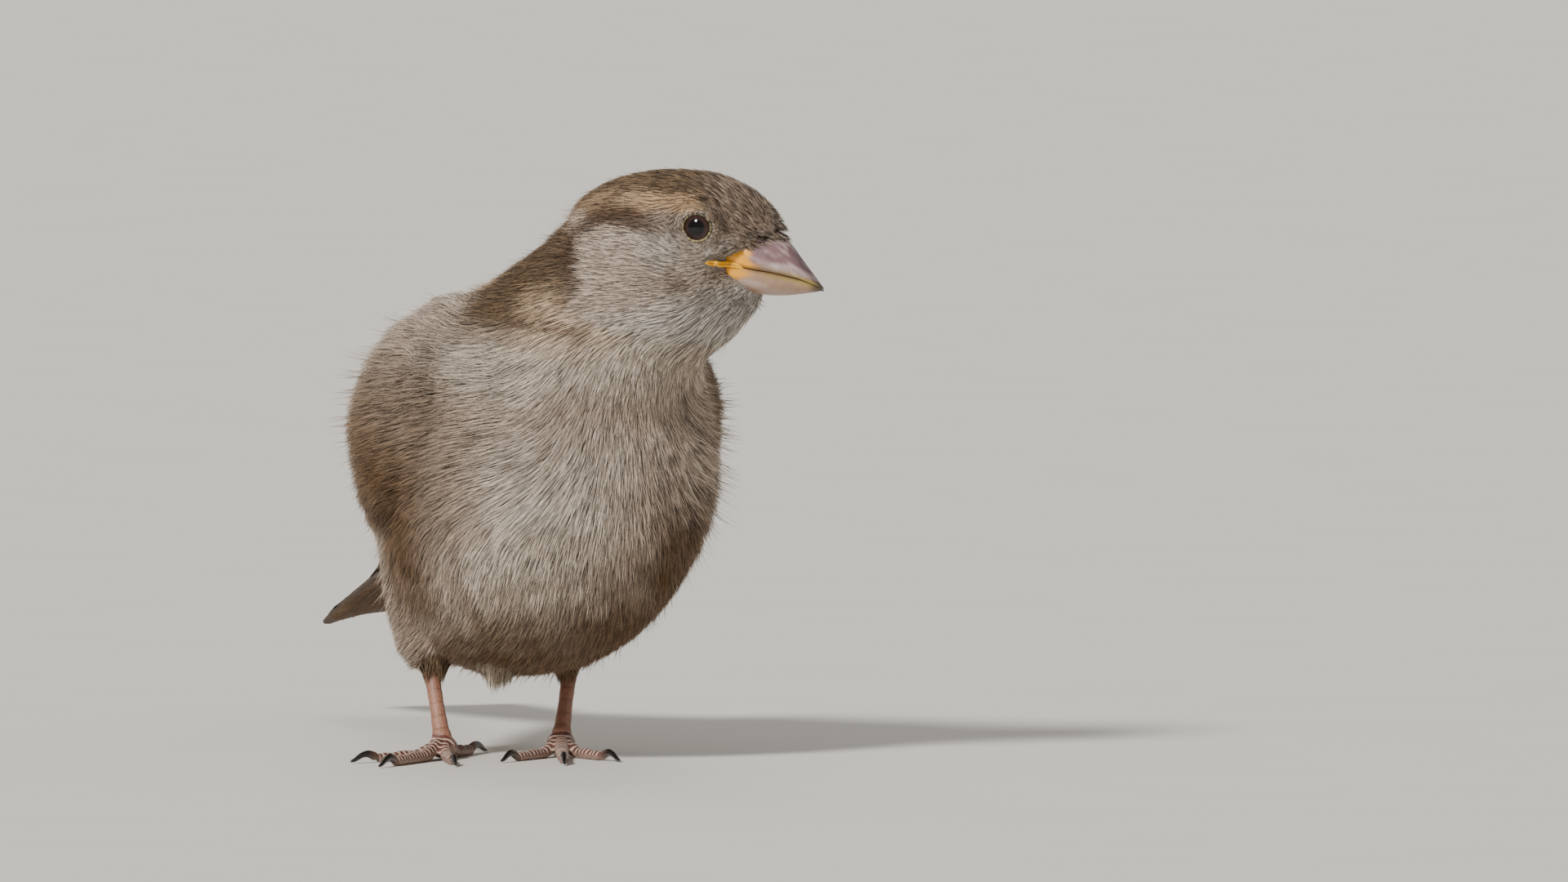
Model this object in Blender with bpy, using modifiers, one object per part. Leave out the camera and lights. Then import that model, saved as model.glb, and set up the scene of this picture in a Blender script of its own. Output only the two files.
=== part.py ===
"""A house sparrow, female, standing on the floor with its head turned to its left.

Blender 4.5. Numbers in the tables are millimetres and are made metres where a mesh is built.
+X is the bird's left, -Y the way its breast faces, +Z up, and the floor is at Z = 0.
"""

import math

import bmesh
import bpy
import numpy as np
from mathutils import Matrix, Vector
from mathutils.bvhtree import BVHTree

MM = 0.001
GAP = 0.3  # clear space between neighbouring solids

# The trunk is an egg on a sloping axis. Rows: place along the axis, back, belly, half width.
TRUNK_MIDDLE = Vector((0.0, 0.0, 33.0))
TRUNK_SLOPE = 25.0
TRUNK_ROWS = (
    (-48.0, 9.8, 7.8, 2.2),
    (-45.0, 10.6, 5.0, 4.0),
    (-40.0, 11.6, 0.6, 5.8),
    (-32.0, 13.0, -7.0, 9.2),
    (-22.0, 15.2, -14.8, 13.4),
    (-12.0, 17.6, -20.4, 16.8),
    (0.0, 19.5, -23.4, 18.7),
    (10.0, 20.0, -22.8, 19.3),
    (18.0, 19.8, -19.5, 17.7),
    (24.0, 19.2, -14.4, 14.6),
    (28.0, 17.8, -8.4, 10.8),
    (30.6, 14.6, -1.6, 6.0),
)
TRUNK_LIFT = 4.0  # the widest line lies this much above the middle of each section
TRUNK_ROUNDNESS = 0.82

# The neck is a leaning tube. Rows: side, fore and aft, height, radius.
NECK_ROWS = (
    (0.0, -10.0, 41.0, 14.4),
    (0.8, -16.5, 49.0, 14.2),
    (3.0, -22.5, 55.5, 12.4),
    (6.5, -27.7, 61.6, 9.6),
)

# The head in its own frame. Rows: forward, crown, throat, half width.
HEAD_MIDDLE = Vector((8.2, -30.0, 63.9))
HEAD_TURN = 54.0
HEAD_ROWS = (
    (-13.2, 3.8, -5.5, 3.4),
    (-11.8, 6.0, -8.6, 6.4),
    (-8.0, 7.8, -11.8, 8.9),
    (-4.0, 8.7, -13.8, 9.9),
    (0.0, 8.9, -14.8, 10.0),
    (3.4, 8.7, -14.3, 9.2),
    (6.4, 7.9, -12.7, 7.0),
    (9.0, 6.7, -10.0, 4.7),
    (11.0, 5.0, -8.0, 3.2),
    (12.4, 3.3, -7.0, 2.3),
    (13.3, 1.4, -5.8, 1.3),
)

# The bill in the head's frame. Rows: forward, ridge, mouth line, keel, half width.
BILL_ROWS = (
    (5.0, 1.8, -2.4, -5.8, 4.1),
    (8.0, 2.0, -2.8, -6.1, 4.2),
    (10.5, 2.0, -3.25, -6.4, 3.9),
    (12.2, 1.5, -3.55, -6.45, 3.4),
    (13.8, 0.1, -3.95, -6.4, 2.7),
    (15.4, -2.1, -4.4, -6.2, 1.9),
    (16.8, -3.9, -5.0, -5.95, 1.1),
    (17.6, -4.95, -5.45, -5.75, 0.5),
)
BILL_TIP = (18.0, -5.75)
# The two cuts that part head, neck and trunk: a point on each, and which way is up.
HEAD_CUT = ((2.4, -24.0, 57.6), (0.22, -0.52, 0.82))
NECK_CUT = ((0.0, -17.0, 50.5), (0.0, -0.62, 0.78))
EYE_RADIUS = 2.6
EYE_PLACE = (4.1, 2.0)  # forward and up in the head's frame
EYE_PROUD = 0.55  # how far the ball stands out of the face

# Three rails of each folded wing, from the wrist to the tip: upper edge, middle, lower edge.
WING_RAILS = (
    ((7.8, -9.0, 54.6), (16.4, -13.4, 48.8), (17.2, -15.0, 41.0)),
    ((6.1, -2.0, 54.4), (18.9, -2.0, 46.8), (19.3, -7.0, 33.0)),
    ((4.8, 8.0, 50.2), (16.9, 8.0, 42.0), (17.8, 6.0, 29.0)),
    ((3.6, 22.0, 42.2), (11.6, 22.0, 35.3), (13.4, 20.0, 27.5)),
    ((3.0, 34.0, 34.0), (7.6, 35.0, 30.4), (8.8, 33.0, 26.0)),
    ((3.4, 45.0, 28.4), (5.8, 46.0, 26.8), (6.8, 45.0, 24.6)),
    ((4.6, 57.0, 23.4), (5.2, 58.0, 22.8), (5.6, 57.0, 22.0)),
)
WING_THICKNESS = (1.4, 1.7, 1.7, 1.5, 1.4, 1.2, 0.8)  # at each row of rails
WING_EDGE = 0.6
PRIMARIES_START = 37.0  # fore and aft place of the cut in front of the primaries

# The rear of the body, with wings and tail, curves a little to the bird's left.
SWING = 0.1
SWING_FROM = 9.0  # fore and aft place where it begins
SWING_SOFT = 60.0

TAIL_BASE = Vector((0.0, 37.0, 25.4))
TAIL_LENGTH = 56.0
TAIL_SLOPE = -14.0
TAIL_HALF_WIDTHS = (4.6, 6.2, 7.4, 8.2, 8.8, 8.9)
TAIL_NOTCH = 4.0
TAIL_ARCH = 1.4  # how far the sides of the tail hang below its middle
TAIL_THICKNESS = 1.3

# Each leg: where the toes meet, and the heel joint above and behind it.
LEGS = {
    "left": {
        "foot": (5.0, 1.0, 1.9),
        "heel": (10.6, 9.0, 19.4),
        "hip": (11.2, 3.0, 29.0),
        "turn": 22.0,
    },
    "right": {
        "foot": (-10.4, 1.0, 1.9),
        "heel": (-10.2, 9.4, 19.4),
        "hip": (-10.6, 3.0, 29.0),
        "turn": 44.0,
    },
}
TARSUS_TOP = 10.6  # height where the bare leg comes out of the feathers
TARSUS_RADIUS = 0.95
THIGH_RADII = (3.6, 5.6, 6.2, 5.4, 3.9, 2.4)
# Toes, counted from the hind one: angle from straight ahead, length, radius, claw length.
TOES = {
    "1": (180.0, 8.4, 0.86, 6.0),
    "2": (32.0, 9.6, 0.76, 4.4),
    "3": (2.0, 13.6, 0.84, 5.2),
    "4": (-29.0, 10.6, 0.74, 4.4),
}
PALM_RADIUS = 1.85
TOE_START = 3.6  # from the middle of the foot to the first joint
SOLE_CUT = 0.14  # how much of each toe's round underside is flat

FEATHER_BROWN = (0.20, 0.135, 0.085)
BREAST_BUFF = (0.40, 0.345, 0.28)
HEAD_BROWN = (0.27, 0.205, 0.145)
LEG_BROWN = (0.26, 0.12, 0.085)
CLAW_BROWN = (0.055, 0.035, 0.03)
BILL_HORN = (0.52, 0.36, 0.27)
EYE_BLACK = (0.015, 0.01, 0.01)


# ---------------------------------------------------------------- small tools


def remove_everything():
    for obj in list(bpy.data.objects):
        bpy.data.objects.remove(obj)


def collection(name):
    made = bpy.data.collections.new(name)
    bpy.context.scene.collection.children.link(made)
    return made


def finish_of(name, colour, roughness):
    material = bpy.data.materials.new(name)
    material.use_nodes = True
    shader = material.node_tree.nodes["Principled BSDF"]
    shader.inputs["Base Color"].default_value = (*colour, 1.0)
    shader.inputs["Roughness"].default_value = roughness
    shader.inputs["Metallic"].default_value = 0.0
    return material


def mesh_object(name, bm, into):
    """A mesh object in collection into, from a bmesh that is already in metres."""
    bmesh.ops.recalc_face_normals(bm, faces=bm.faces)
    mesh = bpy.data.meshes.new(name)
    bm.to_mesh(mesh)
    bm.free()
    obj = bpy.data.objects.new(name, mesh)
    into.objects.link(obj)
    return obj


def bmesh_of(obj):
    bm = bmesh.new()
    bm.from_mesh(obj.data)
    return bm


def baked(obj):
    """The object with its modifiers made real."""
    graph = bpy.context.evaluated_depsgraph_get()
    mesh = bpy.data.meshes.new_from_object(obj.evaluated_get(graph))
    obj.modifiers.clear()
    obj.data = mesh
    return obj


def smooth_rows(rows, count):
    """Count rows, evenly spaced on a Catmull-Rom curve through the rows of a table."""
    rows = np.array(rows, float)
    padded = np.vstack([2 * rows[0] - rows[1], rows, 2 * rows[-1] - rows[-2]])
    found = []
    for place in np.linspace(0, len(rows) - 1, count):
        i = min(int(place), len(rows) - 2)
        t = place - i
        a, b, c, d = padded[i : i + 4]
        bend = (2 * a - 5 * b + 4 * c - d) * t**2 + (3 * b - a - 3 * c + d) * t**3
        found.append(0.5 * (2 * b + (c - a) * t + bend))
    return found


def oval(middle, side, up, half_width, top, bottom, count, roundness=1.0, lift=0.0):
    """An oval section, boxier as roundness falls. Top and bottom are from middle, along up."""
    centre = (top + bottom) / 2 + lift
    points = []
    for i in range(count):
        x, y = math.sin(2 * math.pi * i / count), math.cos(2 * math.pi * i / count)
        x, y = (math.copysign(abs(v) ** roundness, v) for v in (x, y))
        reach = top - centre if y > 0 else centre - bottom
        points.append(middle + side * half_width * x + up * (centre + reach * y))
    return points


def loft(name, rings, into, start=None, end=None):
    """A closed skin over rings of points in millimetres, drawn to a point at each end."""
    bm = bmesh.new()
    rows = [[bm.verts.new(Vector(p) * MM) for p in ring] for ring in rings]
    count = len(rows[0])
    for row, following in zip(rows, rows[1:]):
        for i in range(count):
            j = (i + 1) % count
            bm.faces.new((row[i], row[j], following[j], following[i]))
    for row, tip in ((rows[0], start), (rows[-1], end)):
        place = Vector(tip) * MM if tip else sum((v.co for v in row), Vector()) / count
        pole = bm.verts.new(place)
        for i in range(count):
            bm.faces.new((row[i], row[(i + 1) % count], pole))
    return mesh_object(name, bm, into)


def along_path(path, radii, sides, flatten=1.0):
    """Round rings along a path of points, each square to the path there."""
    path = [Vector(p) for p in path]
    rings = []
    for i, middle in enumerate(path):
        ahead = (path[min(i + 1, len(path) - 1)] - path[max(i - 1, 0)]).normalized()
        across = ahead.cross(Vector((0, 0, 1)))
        across = across.normalized() if across.length > 0.05 else Vector((1, 0, 0))
        up = across.cross(ahead).normalized()
        radius = radii[i]
        rings.append(oval(middle, across, up, radius, radius * flatten, -radius * flatten, sides))
    return rings


def joined(name, objects, into):
    bm = bmesh.new()
    for obj in objects:
        bm.from_mesh(obj.data)
        bpy.data.objects.remove(obj)
    made = bpy.data.meshes.new(name)
    bm.to_mesh(made)
    bm.free()
    obj = bpy.data.objects.new(name, made)
    into.objects.link(obj)
    return obj


def halved(obj, point, normal):
    """Keeps the side of obj that normal points to, and closes the cut."""
    bm = bmesh_of(obj)
    parts = bm.verts[:] + bm.edges[:] + bm.faces[:]
    where = Vector(point) * MM
    bmesh.ops.bisect_plane(bm, geom=parts, plane_co=where, plane_no=normal, clear_inner=True, dist=1e-7)
    rim = [edge for edge in bm.edges if edge.is_boundary]
    bmesh.ops.holes_fill(bm, edges=rim, sides=0)
    bmesh.ops.triangulate(bm, faces=[face for face in bm.faces if len(face.verts) > 4])
    bmesh.ops.recalc_face_normals(bm, faces=bm.faces)
    bm.to_mesh(obj.data)
    bm.free()
    return obj


def copy_of(obj, name, into):
    made = obj.copy()
    made.data = obj.data.copy()
    made.name = name
    into.objects.link(made)
    return made


def grown(obj, name, by, into):
    """A copy of obj with its skin moved out by so many millimetres, used as a cutter."""
    made = copy_of(obj, name, into)
    bm = bmesh_of(made)
    bm.normal_update()
    moved = [vertex.co + vertex.normal * by * MM for vertex in bm.verts]
    for vertex, place in zip(bm.verts, moved):
        vertex.co = place
    bm.to_mesh(made.data)
    bm.free()
    made.hide_render = True
    made.display_type = "WIRE"
    return made


def boolean(obj, other, operation):
    modifier = obj.modifiers.new(operation.lower(), "BOOLEAN")
    modifier.operation = operation
    modifier.object = other
    modifier.solver = "EXACT"
    modifier.use_self = True
    return baked(obj)


def largest_piece(obj):
    """Drops crumbs that a cut left loose."""
    bm = bmesh_of(obj)
    left, pieces = set(bm.verts), []
    while left:
        todo, piece = [left.pop()], []
        while todo:
            vertex = todo.pop()
            piece.append(vertex)
            for edge in vertex.link_edges:
                other = edge.other_vert(vertex)
                if other in left:
                    left.remove(other)
                    todo.append(other)
        pieces.append(piece)
    pieces.sort(key=len)
    bmesh.ops.delete(bm, geom=[v for piece in pieces[:-1] for v in piece], context="VERTS")
    bm.to_mesh(obj.data)
    bm.free()
    return obj


# ---------------------------------------------------------------- body


def trunk_frame():
    slope = math.radians(TRUNK_SLOPE)
    ahead = Vector((0, -math.cos(slope), math.sin(slope)))
    up = Vector((0, math.sin(slope), math.cos(slope)))
    return ahead, up


def swung(place):
    """A point of the straight body, moved to where the curve of the rear takes it."""
    past = place.y - SWING_FROM
    return place + Vector((SWING * (past + math.sqrt(past * past + SWING_SOFT)), 0, 0))


def trunk_form(into):
    ahead, up = trunk_frame()
    side = Vector((1, 0, 0))
    rings = []
    for along, back, belly, width in smooth_rows(TRUNK_ROWS, 36):
        middle = TRUNK_MIDDLE + ahead * along
        lift = TRUNK_LIFT * (back - belly) / 42
        ring = oval(middle, side, up, width, back, belly, 40, TRUNK_ROUNDNESS, lift)
        rings.append([swung(point) for point in ring])
    return loft("trunk_form", rings, into)


def neck_form(into):
    rows = smooth_rows(NECK_ROWS, 12)
    return loft("neck_form", along_path([r[:3] for r in rows], [r[3] for r in rows], 28), into)


def head_frame():
    turn = math.radians(HEAD_TURN)
    ahead = Vector((math.sin(turn), -math.cos(turn), 0))
    left = Vector((math.cos(turn), math.sin(turn), 0))
    return ahead, left, Vector((0, 0, 1))


def in_head(forward, left, up):
    """A point given in the head's frame."""
    ahead, side, high = head_frame()
    return HEAD_MIDDLE + ahead * forward + side * left + high * up


def head_form(into):
    ahead, side, up = head_frame()
    rings = [
        oval(HEAD_MIDDLE + ahead * forward, side, up, width, crown, throat, 32)
        for forward, crown, throat, width in smooth_rows(HEAD_ROWS, 26)
    ]
    return loft("head_form", rings, into)


def body_whole(guides):
    """Head, neck and trunk grown together into one smooth closed form."""
    forms = [trunk_form(guides), neck_form(guides), head_form(guides)]
    body = joined("body_whole", forms, guides)
    remesh = body.modifiers.new("together", "REMESH")
    remesh.mode = "VOXEL"
    remesh.voxel_size = 0.9 * MM
    smooth = body.modifiers.new("soften", "SMOOTH")
    smooth.factor = 0.5
    smooth.iterations = 10
    thin = body.modifiers.new("thin", "DECIMATE")
    thin.ratio = 0.058
    baked(body)
    body.hide_render = True
    body.display_type = "WIRE"
    return body


def body_parts(body, parts):
    """The body parted by two thin cuts into head, neck and trunk."""
    gap = GAP / 2
    head_place, head_up = Vector(HEAD_CUT[0]), Vector(HEAD_CUT[1]).normalized()
    neck_place, neck_up = Vector(NECK_CUT[0]), Vector(NECK_CUT[1]).normalized()
    head, neck, trunk = (copy_of(body, name, parts) for name in ("head", "neck", "trunk"))
    halved(head, head_place + head_up * gap, head_up)
    halved(neck, head_place - head_up * gap, -head_up)
    halved(neck, neck_place + neck_up * gap, neck_up)
    halved(trunk, neck_place - neck_up * gap, -neck_up)
    for part in (head, neck, trunk):
        part.hide_render = False
        part.display_type = "TEXTURED"
    return head, neck, trunk


# ---------------------------------------------------------------- head fittings


def eyes(head, body, parts, cutters):
    """Each eyeball sits in a socket of the head, a little proud of the face."""
    surface = BVHTree.FromObject(body, bpy.context.evaluated_depsgraph_get())
    _, side, _ = head_frame()
    for name, sign in (("left", 1), ("right", -1)):
        outside = in_head(EYE_PLACE[0], sign * 25, EYE_PLACE[1])
        face = surface.ray_cast(outside * MM, -side * sign)[0] / MM
        middle = face - side * sign * (EYE_RADIUS - EYE_PROUD)
        bm = bmesh.new()
        bmesh.ops.create_uvsphere(bm, u_segments=14, v_segments=9, radius=EYE_RADIUS * MM)
        pole_outwards = side.to_track_quat("Z", "Y").to_matrix().to_4x4()
        bmesh.ops.transform(bm, matrix=Matrix.Translation(middle * MM) @ pole_outwards, verts=bm.verts)
        eye = mesh_object(f"eye_{name}", bm, parts)
        socket = grown(eye, f"socket_{name}", GAP, cutters)
        boolean(head, socket, "DIFFERENCE")


def bill_half(name, upper, parts):
    """One mandible: an arch over the mouth line, or a keeled trough under it."""
    rings = []
    for forward, ridge, mouth, keel, width in smooth_rows(BILL_ROWS, 11):
        edge = mouth + GAP / 2 if upper else mouth - GAP / 2
        reach = ridge - edge if upper else keel - edge
        turns = [math.pi * i / 8 for i in range(9)]
        bow = 0.92 if upper else 0.75
        arch = ((width * math.cos(a), edge + reach * math.sin(a) ** bow) for a in turns)
        rings.append([in_head(forward, across, high) for across, high in arch])
    lift = GAP / 2 if upper else -GAP / 2
    return loft(name, rings, parts, end=in_head(BILL_TIP[0] - (0 if upper else 0.5), 0, BILL_TIP[1] + lift))


def bill(head, parts, cutters):
    """Both mandibles, seated in the face: the head is cut back around them."""
    for name, upper in (("bill_upper", True), ("bill_lower", False)):
        half = bill_half(name, upper, parts)
        boolean(head, grown(half, f"{name}_seat", GAP, cutters), "DIFFERENCE")


# ---------------------------------------------------------------- wings and tail


def wing_grid(body, sign):
    """Rows of points across the folded wing, laid on the body's side."""
    surface = BVHTree.FromObject(body, bpy.context.evaluated_depsgraph_get())
    rails = [smooth_rows([row[i] for row in WING_RAILS], 17) for i in range(3)]
    thickness = smooth_rows([[t] for t in WING_THICKNESS], 17)
    grid = []
    for upper, middle, lower, thick in zip(*rails, thickness):
        row = []
        for i in range(7):
            t = i / 6
            bulge = 2 * middle - (upper + lower) / 2
            place = Vector(upper * (1 - t) ** 2 + bulge * 2 * t * (1 - t) + lower * t**2)
            place.x *= sign
            place = swung(place)
            half = (WING_EDGE + (thick[0] - WING_EDGE) * math.sin(math.pi * t) ** 0.7) / 2
            clear = half + GAP + 0.2
            near, normal, _, _ = surface.find_nearest(place * MM)
            near = near / MM
            if (place - near).dot(normal) < clear:
                place = near + normal * clear
            row.append((place, half))
        grid.append(row)
    return grid


def wing(name, body, sign, into):
    """A folded wing as one thin curved blade: its outer face, then its inner face back again."""
    grid = wing_grid(body, sign)
    rings = []
    for i, row in enumerate(grid):
        outer, inner = [], []
        for j, (place, half) in enumerate(row):
            along = grid[min(i + 1, len(grid) - 1)][j][0] - grid[max(i - 1, 0)][j][0]
            across = row[min(j + 1, len(row) - 1)][0] - row[max(j - 1, 0)][0]
            out = across.cross(along).normalized() * sign
            outer.append(place + out * half)
            inner.append(place - out * half)
        rings.append(outer + inner[::-1])
    return loft(name, rings, into)


def wings(body, parts):
    start = Vector((0, PRIMARIES_START, 29.0))
    rearward = Vector((0, 0.94, -0.34))
    for side, sign in (("left", 1), ("right", -1)):
        blade = wing(f"wing_{side}", body, sign, parts)
        primaries = copy_of(blade, f"primaries_{side}", parts)
        halved(primaries, start + rearward * GAP / 2, rearward)
        halved(blade, start - rearward * GAP / 2, -rearward)


def tail(body, parts, cutters):
    """The closed fan of the tail: an arched sheet with a shallow notch at its end."""
    slope = math.radians(TAIL_SLOPE)
    ahead = Vector((0, math.cos(slope), math.sin(slope)))
    up = Vector((0, -math.sin(slope), math.cos(slope)))
    bm = bmesh.new()
    rows = []
    for i, (half_width,) in enumerate(smooth_rows([[w] for w in TAIL_HALF_WIDTHS], 10)):
        row = []
        for j in range(7):
            across = j / 3 - 1
            end = TAIL_LENGTH - TAIL_NOTCH * (1 - across**2) - 1.6 * abs(across) ** 6
            place = TAIL_BASE + ahead * (end * i / 9) - up * TAIL_ARCH * across**2
            row.append(bm.verts.new(swung(place + Vector((half_width * across, 0, 0))) * MM))
        rows.append(row)
    for row, following in zip(rows, rows[1:]):
        for j in range(6):
            bm.faces.new((row[j], following[j], following[j + 1], row[j + 1]))
    made = mesh_object("tail", bm, parts)
    shell = made.modifiers.new("thickness", "SOLIDIFY")
    shell.thickness = TAIL_THICKNESS * MM
    shell.offset = 0.0
    baked(made)
    return largest_piece(boolean(made, grown(body, "tail_seat", GAP, cutters), "DIFFERENCE"))


# ---------------------------------------------------------------- legs


def toe_direction(leg, side, angle):
    """Which way a toe points on the floor. Turn is how far the foot is turned to the bird's right."""
    inwards = 1 if side == "left" else -1
    heading = math.radians(leg["turn"] - inwards * angle)
    return Vector((-math.sin(heading), -math.cos(heading), 0))


def toe_path(leg, side, toe):
    """From the middle of the foot, down on to the floor and along it."""
    angle, length, radius, _ = TOES[toe]
    ahead = toe_direction(leg, side, angle)
    foot = Vector(leg["foot"])
    radii = toe_radii(radius, 10)
    points = []
    for i in range(10):
        t = i / 9
        place = foot + ahead * (length * t)
        settle = min(1.0, t / 0.42)
        drop = settle * settle * (3 - 2 * settle)
        place.z = foot.z + (radii[i] - SOLE_CUT - foot.z) * drop
        points.append(place)
    return points, ahead


def toe_radii(radius, count):
    """A toe swells at its joints and narrows to its end."""
    places = [i / (count - 1) for i in range(count)]
    return [radius * (1.08 - 0.3 * t + 0.06 * math.cos(3.2 * 2 * math.pi * t)) for t in places]


def thigh(name, leg, into, extra=0.0, below=0.0):
    """The feathered drumstick, from inside the flank to the bare leg, or a fatter, longer one."""
    foot, heel, hip = (Vector(leg[k]) for k in ("foot", "heel", "hip"))
    shank = (heel - foot).normalized()
    low = foot.lerp(heel, (TARSUS_TOP - foot.z) / (heel.z - foot.z))
    knee = heel.lerp(hip, 0.4)
    path = [Vector(p) for p in smooth_rows([hip, hip.lerp(knee, 0.5), knee, low + shank * 3.4, low], 9)]
    radii = [r[0] + extra for r in smooth_rows([[r] for r in THIGH_RADII], 9)]
    path[0] += shank * extra * 1.5
    path[-1] -= shank * below
    side = shank.cross(Vector((0, 1, 0))).normalized()
    front = side.cross(shank)
    rings = [oval(p, side, front, radius, radius, -radius, 14) for p, radius in zip(path, radii)]
    return loft(name, rings, into)


def floor_block(into):
    """Everything under the floor, to cut the soles flat."""
    bm = bmesh.new()
    bmesh.ops.create_cube(bm, size=200 * MM)
    bmesh.ops.translate(bm, vec=(0, 0, -100 * MM), verts=bm.verts)
    block = mesh_object("floor_block", bm, into)
    block.hide_render = True
    block.display_type = "WIRE"
    return block


def foot_and_tarsus(side, leg, floor, parts, cutters):
    """The bare leg with the roots of its four toes, as one solid."""
    foot, heel = Vector(leg["foot"]), Vector(leg["heel"])
    top = foot.lerp(heel, (TARSUS_TOP - GAP - foot.z) / (heel.z - foot.z))
    shank = [foot.lerp(top, t) for t in (0.02, 0.1, 0.2, 0.5, 0.8, 1.0)]
    radii = [TARSUS_RADIUS * k for k in (1.2, 1.3, 1.1, 0.95, 1.0, 1.1)]
    tarsus = loft(f"tarsus_{side}", along_path(shank, radii, 12), parts)
    bm = bmesh.new()
    bmesh.ops.create_uvsphere(bm, u_segments=12, v_segments=7, radius=PALM_RADIUS * MM)
    bmesh.ops.scale(bm, vec=(1.0, 1.0, 0.8), verts=bm.verts)
    bmesh.ops.translate(bm, vec=(foot - Vector((0, 0, 0.37))) * MM, verts=bm.verts)
    palm = mesh_object("palm", bm, cutters)
    boolean(tarsus, palm, "UNION")
    bpy.data.objects.remove(palm)
    for toe, (_, _, radius, _) in TOES.items():
        path, ahead = toe_path(leg, side, toe)
        path[0] = path[0] + ahead * (0.3 + 0.06 * int(toe))
        root = loft("toe_root", along_path(path, toe_radii(radius, len(path)), 10), cutters)
        halved(root, foot + ahead * (TOE_START - GAP / 2), -ahead)
        root.hide_render = True
        boolean(tarsus, root, "UNION")
        bpy.data.objects.remove(root)
    return boolean(tarsus, floor, "DIFFERENCE")


def toe_and_claw(side, leg, toe, floor, parts):
    """A toe from its first joint, lying on its flat sole, and the claw at its end."""
    _, _, radius, claw_length = TOES[toe]
    path, ahead = toe_path(leg, side, toe)
    radii = toe_radii(radius, len(path))
    made = loft(f"toe_{side}_{toe}", along_path(path, radii, 10), parts)
    foot = Vector(leg["foot"])
    halved(made, foot + ahead * (TOE_START + GAP / 2), ahead)
    boolean(made, floor, "DIFFERENCE")
    tip = path[-1] + ahead * (GAP + 0.05)
    arc, thick = [], []
    for i in range(7):
        t = i / 6
        rise = 0.15 * (1 - t) + 0.55 * math.sin(math.pi * min(t * 1.25, 1.0)) - (tip.z - 0.22) * t**2
        arc.append(tip + ahead * (claw_length * 0.86 * t) + Vector((0, 0, rise)))
        thick.append(radius * 0.5 * (1 - t) ** 0.8 + 0.12)
    loft(f"claw_{side}_{toe}", along_path(arc, thick, 8, flatten=1.15), parts)


def thighs(body, parts, cutters):
    """Both drumsticks, with the body hollowed to take them."""
    for side, leg in LEGS.items():
        thigh(f"thigh_{side}", leg, parts)
        seat = thigh(f"thigh_seat_{side}", leg, cutters, extra=GAP, below=3.5)
        seat.hide_render = True
        seat.display_type = "WIRE"
        boolean(body, seat, "DIFFERENCE")


def legs(parts, cutters):
    floor = floor_block(cutters)
    for side, leg in LEGS.items():
        foot_and_tarsus(side, leg, floor, parts, cutters)
        for toe in TOES:
            toe_and_claw(side, leg, toe, floor, parts)


# ---------------------------------------------------------------- finishing


def set_down(parts):
    """Puts the middle of the bird's box over the origin."""
    graph = bpy.context.evaluated_depsgraph_get()
    corners = [v.co for obj in parts.objects for v in obj.evaluated_get(graph).data.vertices]
    low = Vector(min(c[i] for c in corners) for i in range(3))
    high = Vector(max(c[i] for c in corners) for i in range(3))
    shift = Matrix.Translation(Vector((-(low.x + high.x) / 2, -(low.y + high.y) / 2, -low.z)))
    for obj in parts.objects:
        obj.data.transform(shift)


def paint(parts):
    """Each sub-part's finish, by the start of its name."""
    finishes = {
        "head": finish_of("head_feathers", HEAD_BROWN, 0.85),
        "neck": finish_of("neck_feathers", BREAST_BUFF, 0.85),
        "trunk": finish_of("breast_feathers", BREAST_BUFF, 0.85),
        "thigh": finish_of("thigh_feathers", BREAST_BUFF, 0.85),
        "wing": finish_of("wing_feathers", FEATHER_BROWN, 0.7),
        "primaries": finish_of("primary_feathers", FEATHER_BROWN, 0.7),
        "tail": finish_of("tail_feathers", FEATHER_BROWN, 0.7),
        "tarsus": finish_of("leg_skin", LEG_BROWN, 0.5),
        "toe": finish_of("toe_skin", LEG_BROWN, 0.5),
        "claw": finish_of("claw_horn", CLAW_BROWN, 0.35),
        "bill": finish_of("bill_horn", BILL_HORN, 0.35),
        "eye": finish_of("eye_gloss", EYE_BLACK, 0.05),
    }
    for obj in parts.objects:
        obj.data.materials.clear()
        obj.data.materials.append(finishes[obj.name.split("_")[0]])
        obj.data.shade_smooth()
        obj.data.set_sharp_from_angle(angle=math.radians(40))


def main():
    remove_everything()
    parts = collection("house_sparrow")
    guides = collection("guides")
    body = body_whole(guides)
    hollowed = copy_of(body, "body_hollowed", guides)
    thighs(hollowed, parts, guides)
    head, _, trunk = body_parts(hollowed, parts)
    eyes(head, body, parts, guides)
    bill(head, parts, guides)
    wings(body, parts)
    tail(body, parts, guides)
    legs(parts, guides)
    for part in (head, trunk):
        largest_piece(part)
    set_down(parts)
    paint(parts)


main()
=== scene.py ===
import math

import bmesh
import bpy
import numpy as np
from mathutils import Matrix, Vector
from mathutils.bvhtree import BVHTree


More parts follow.
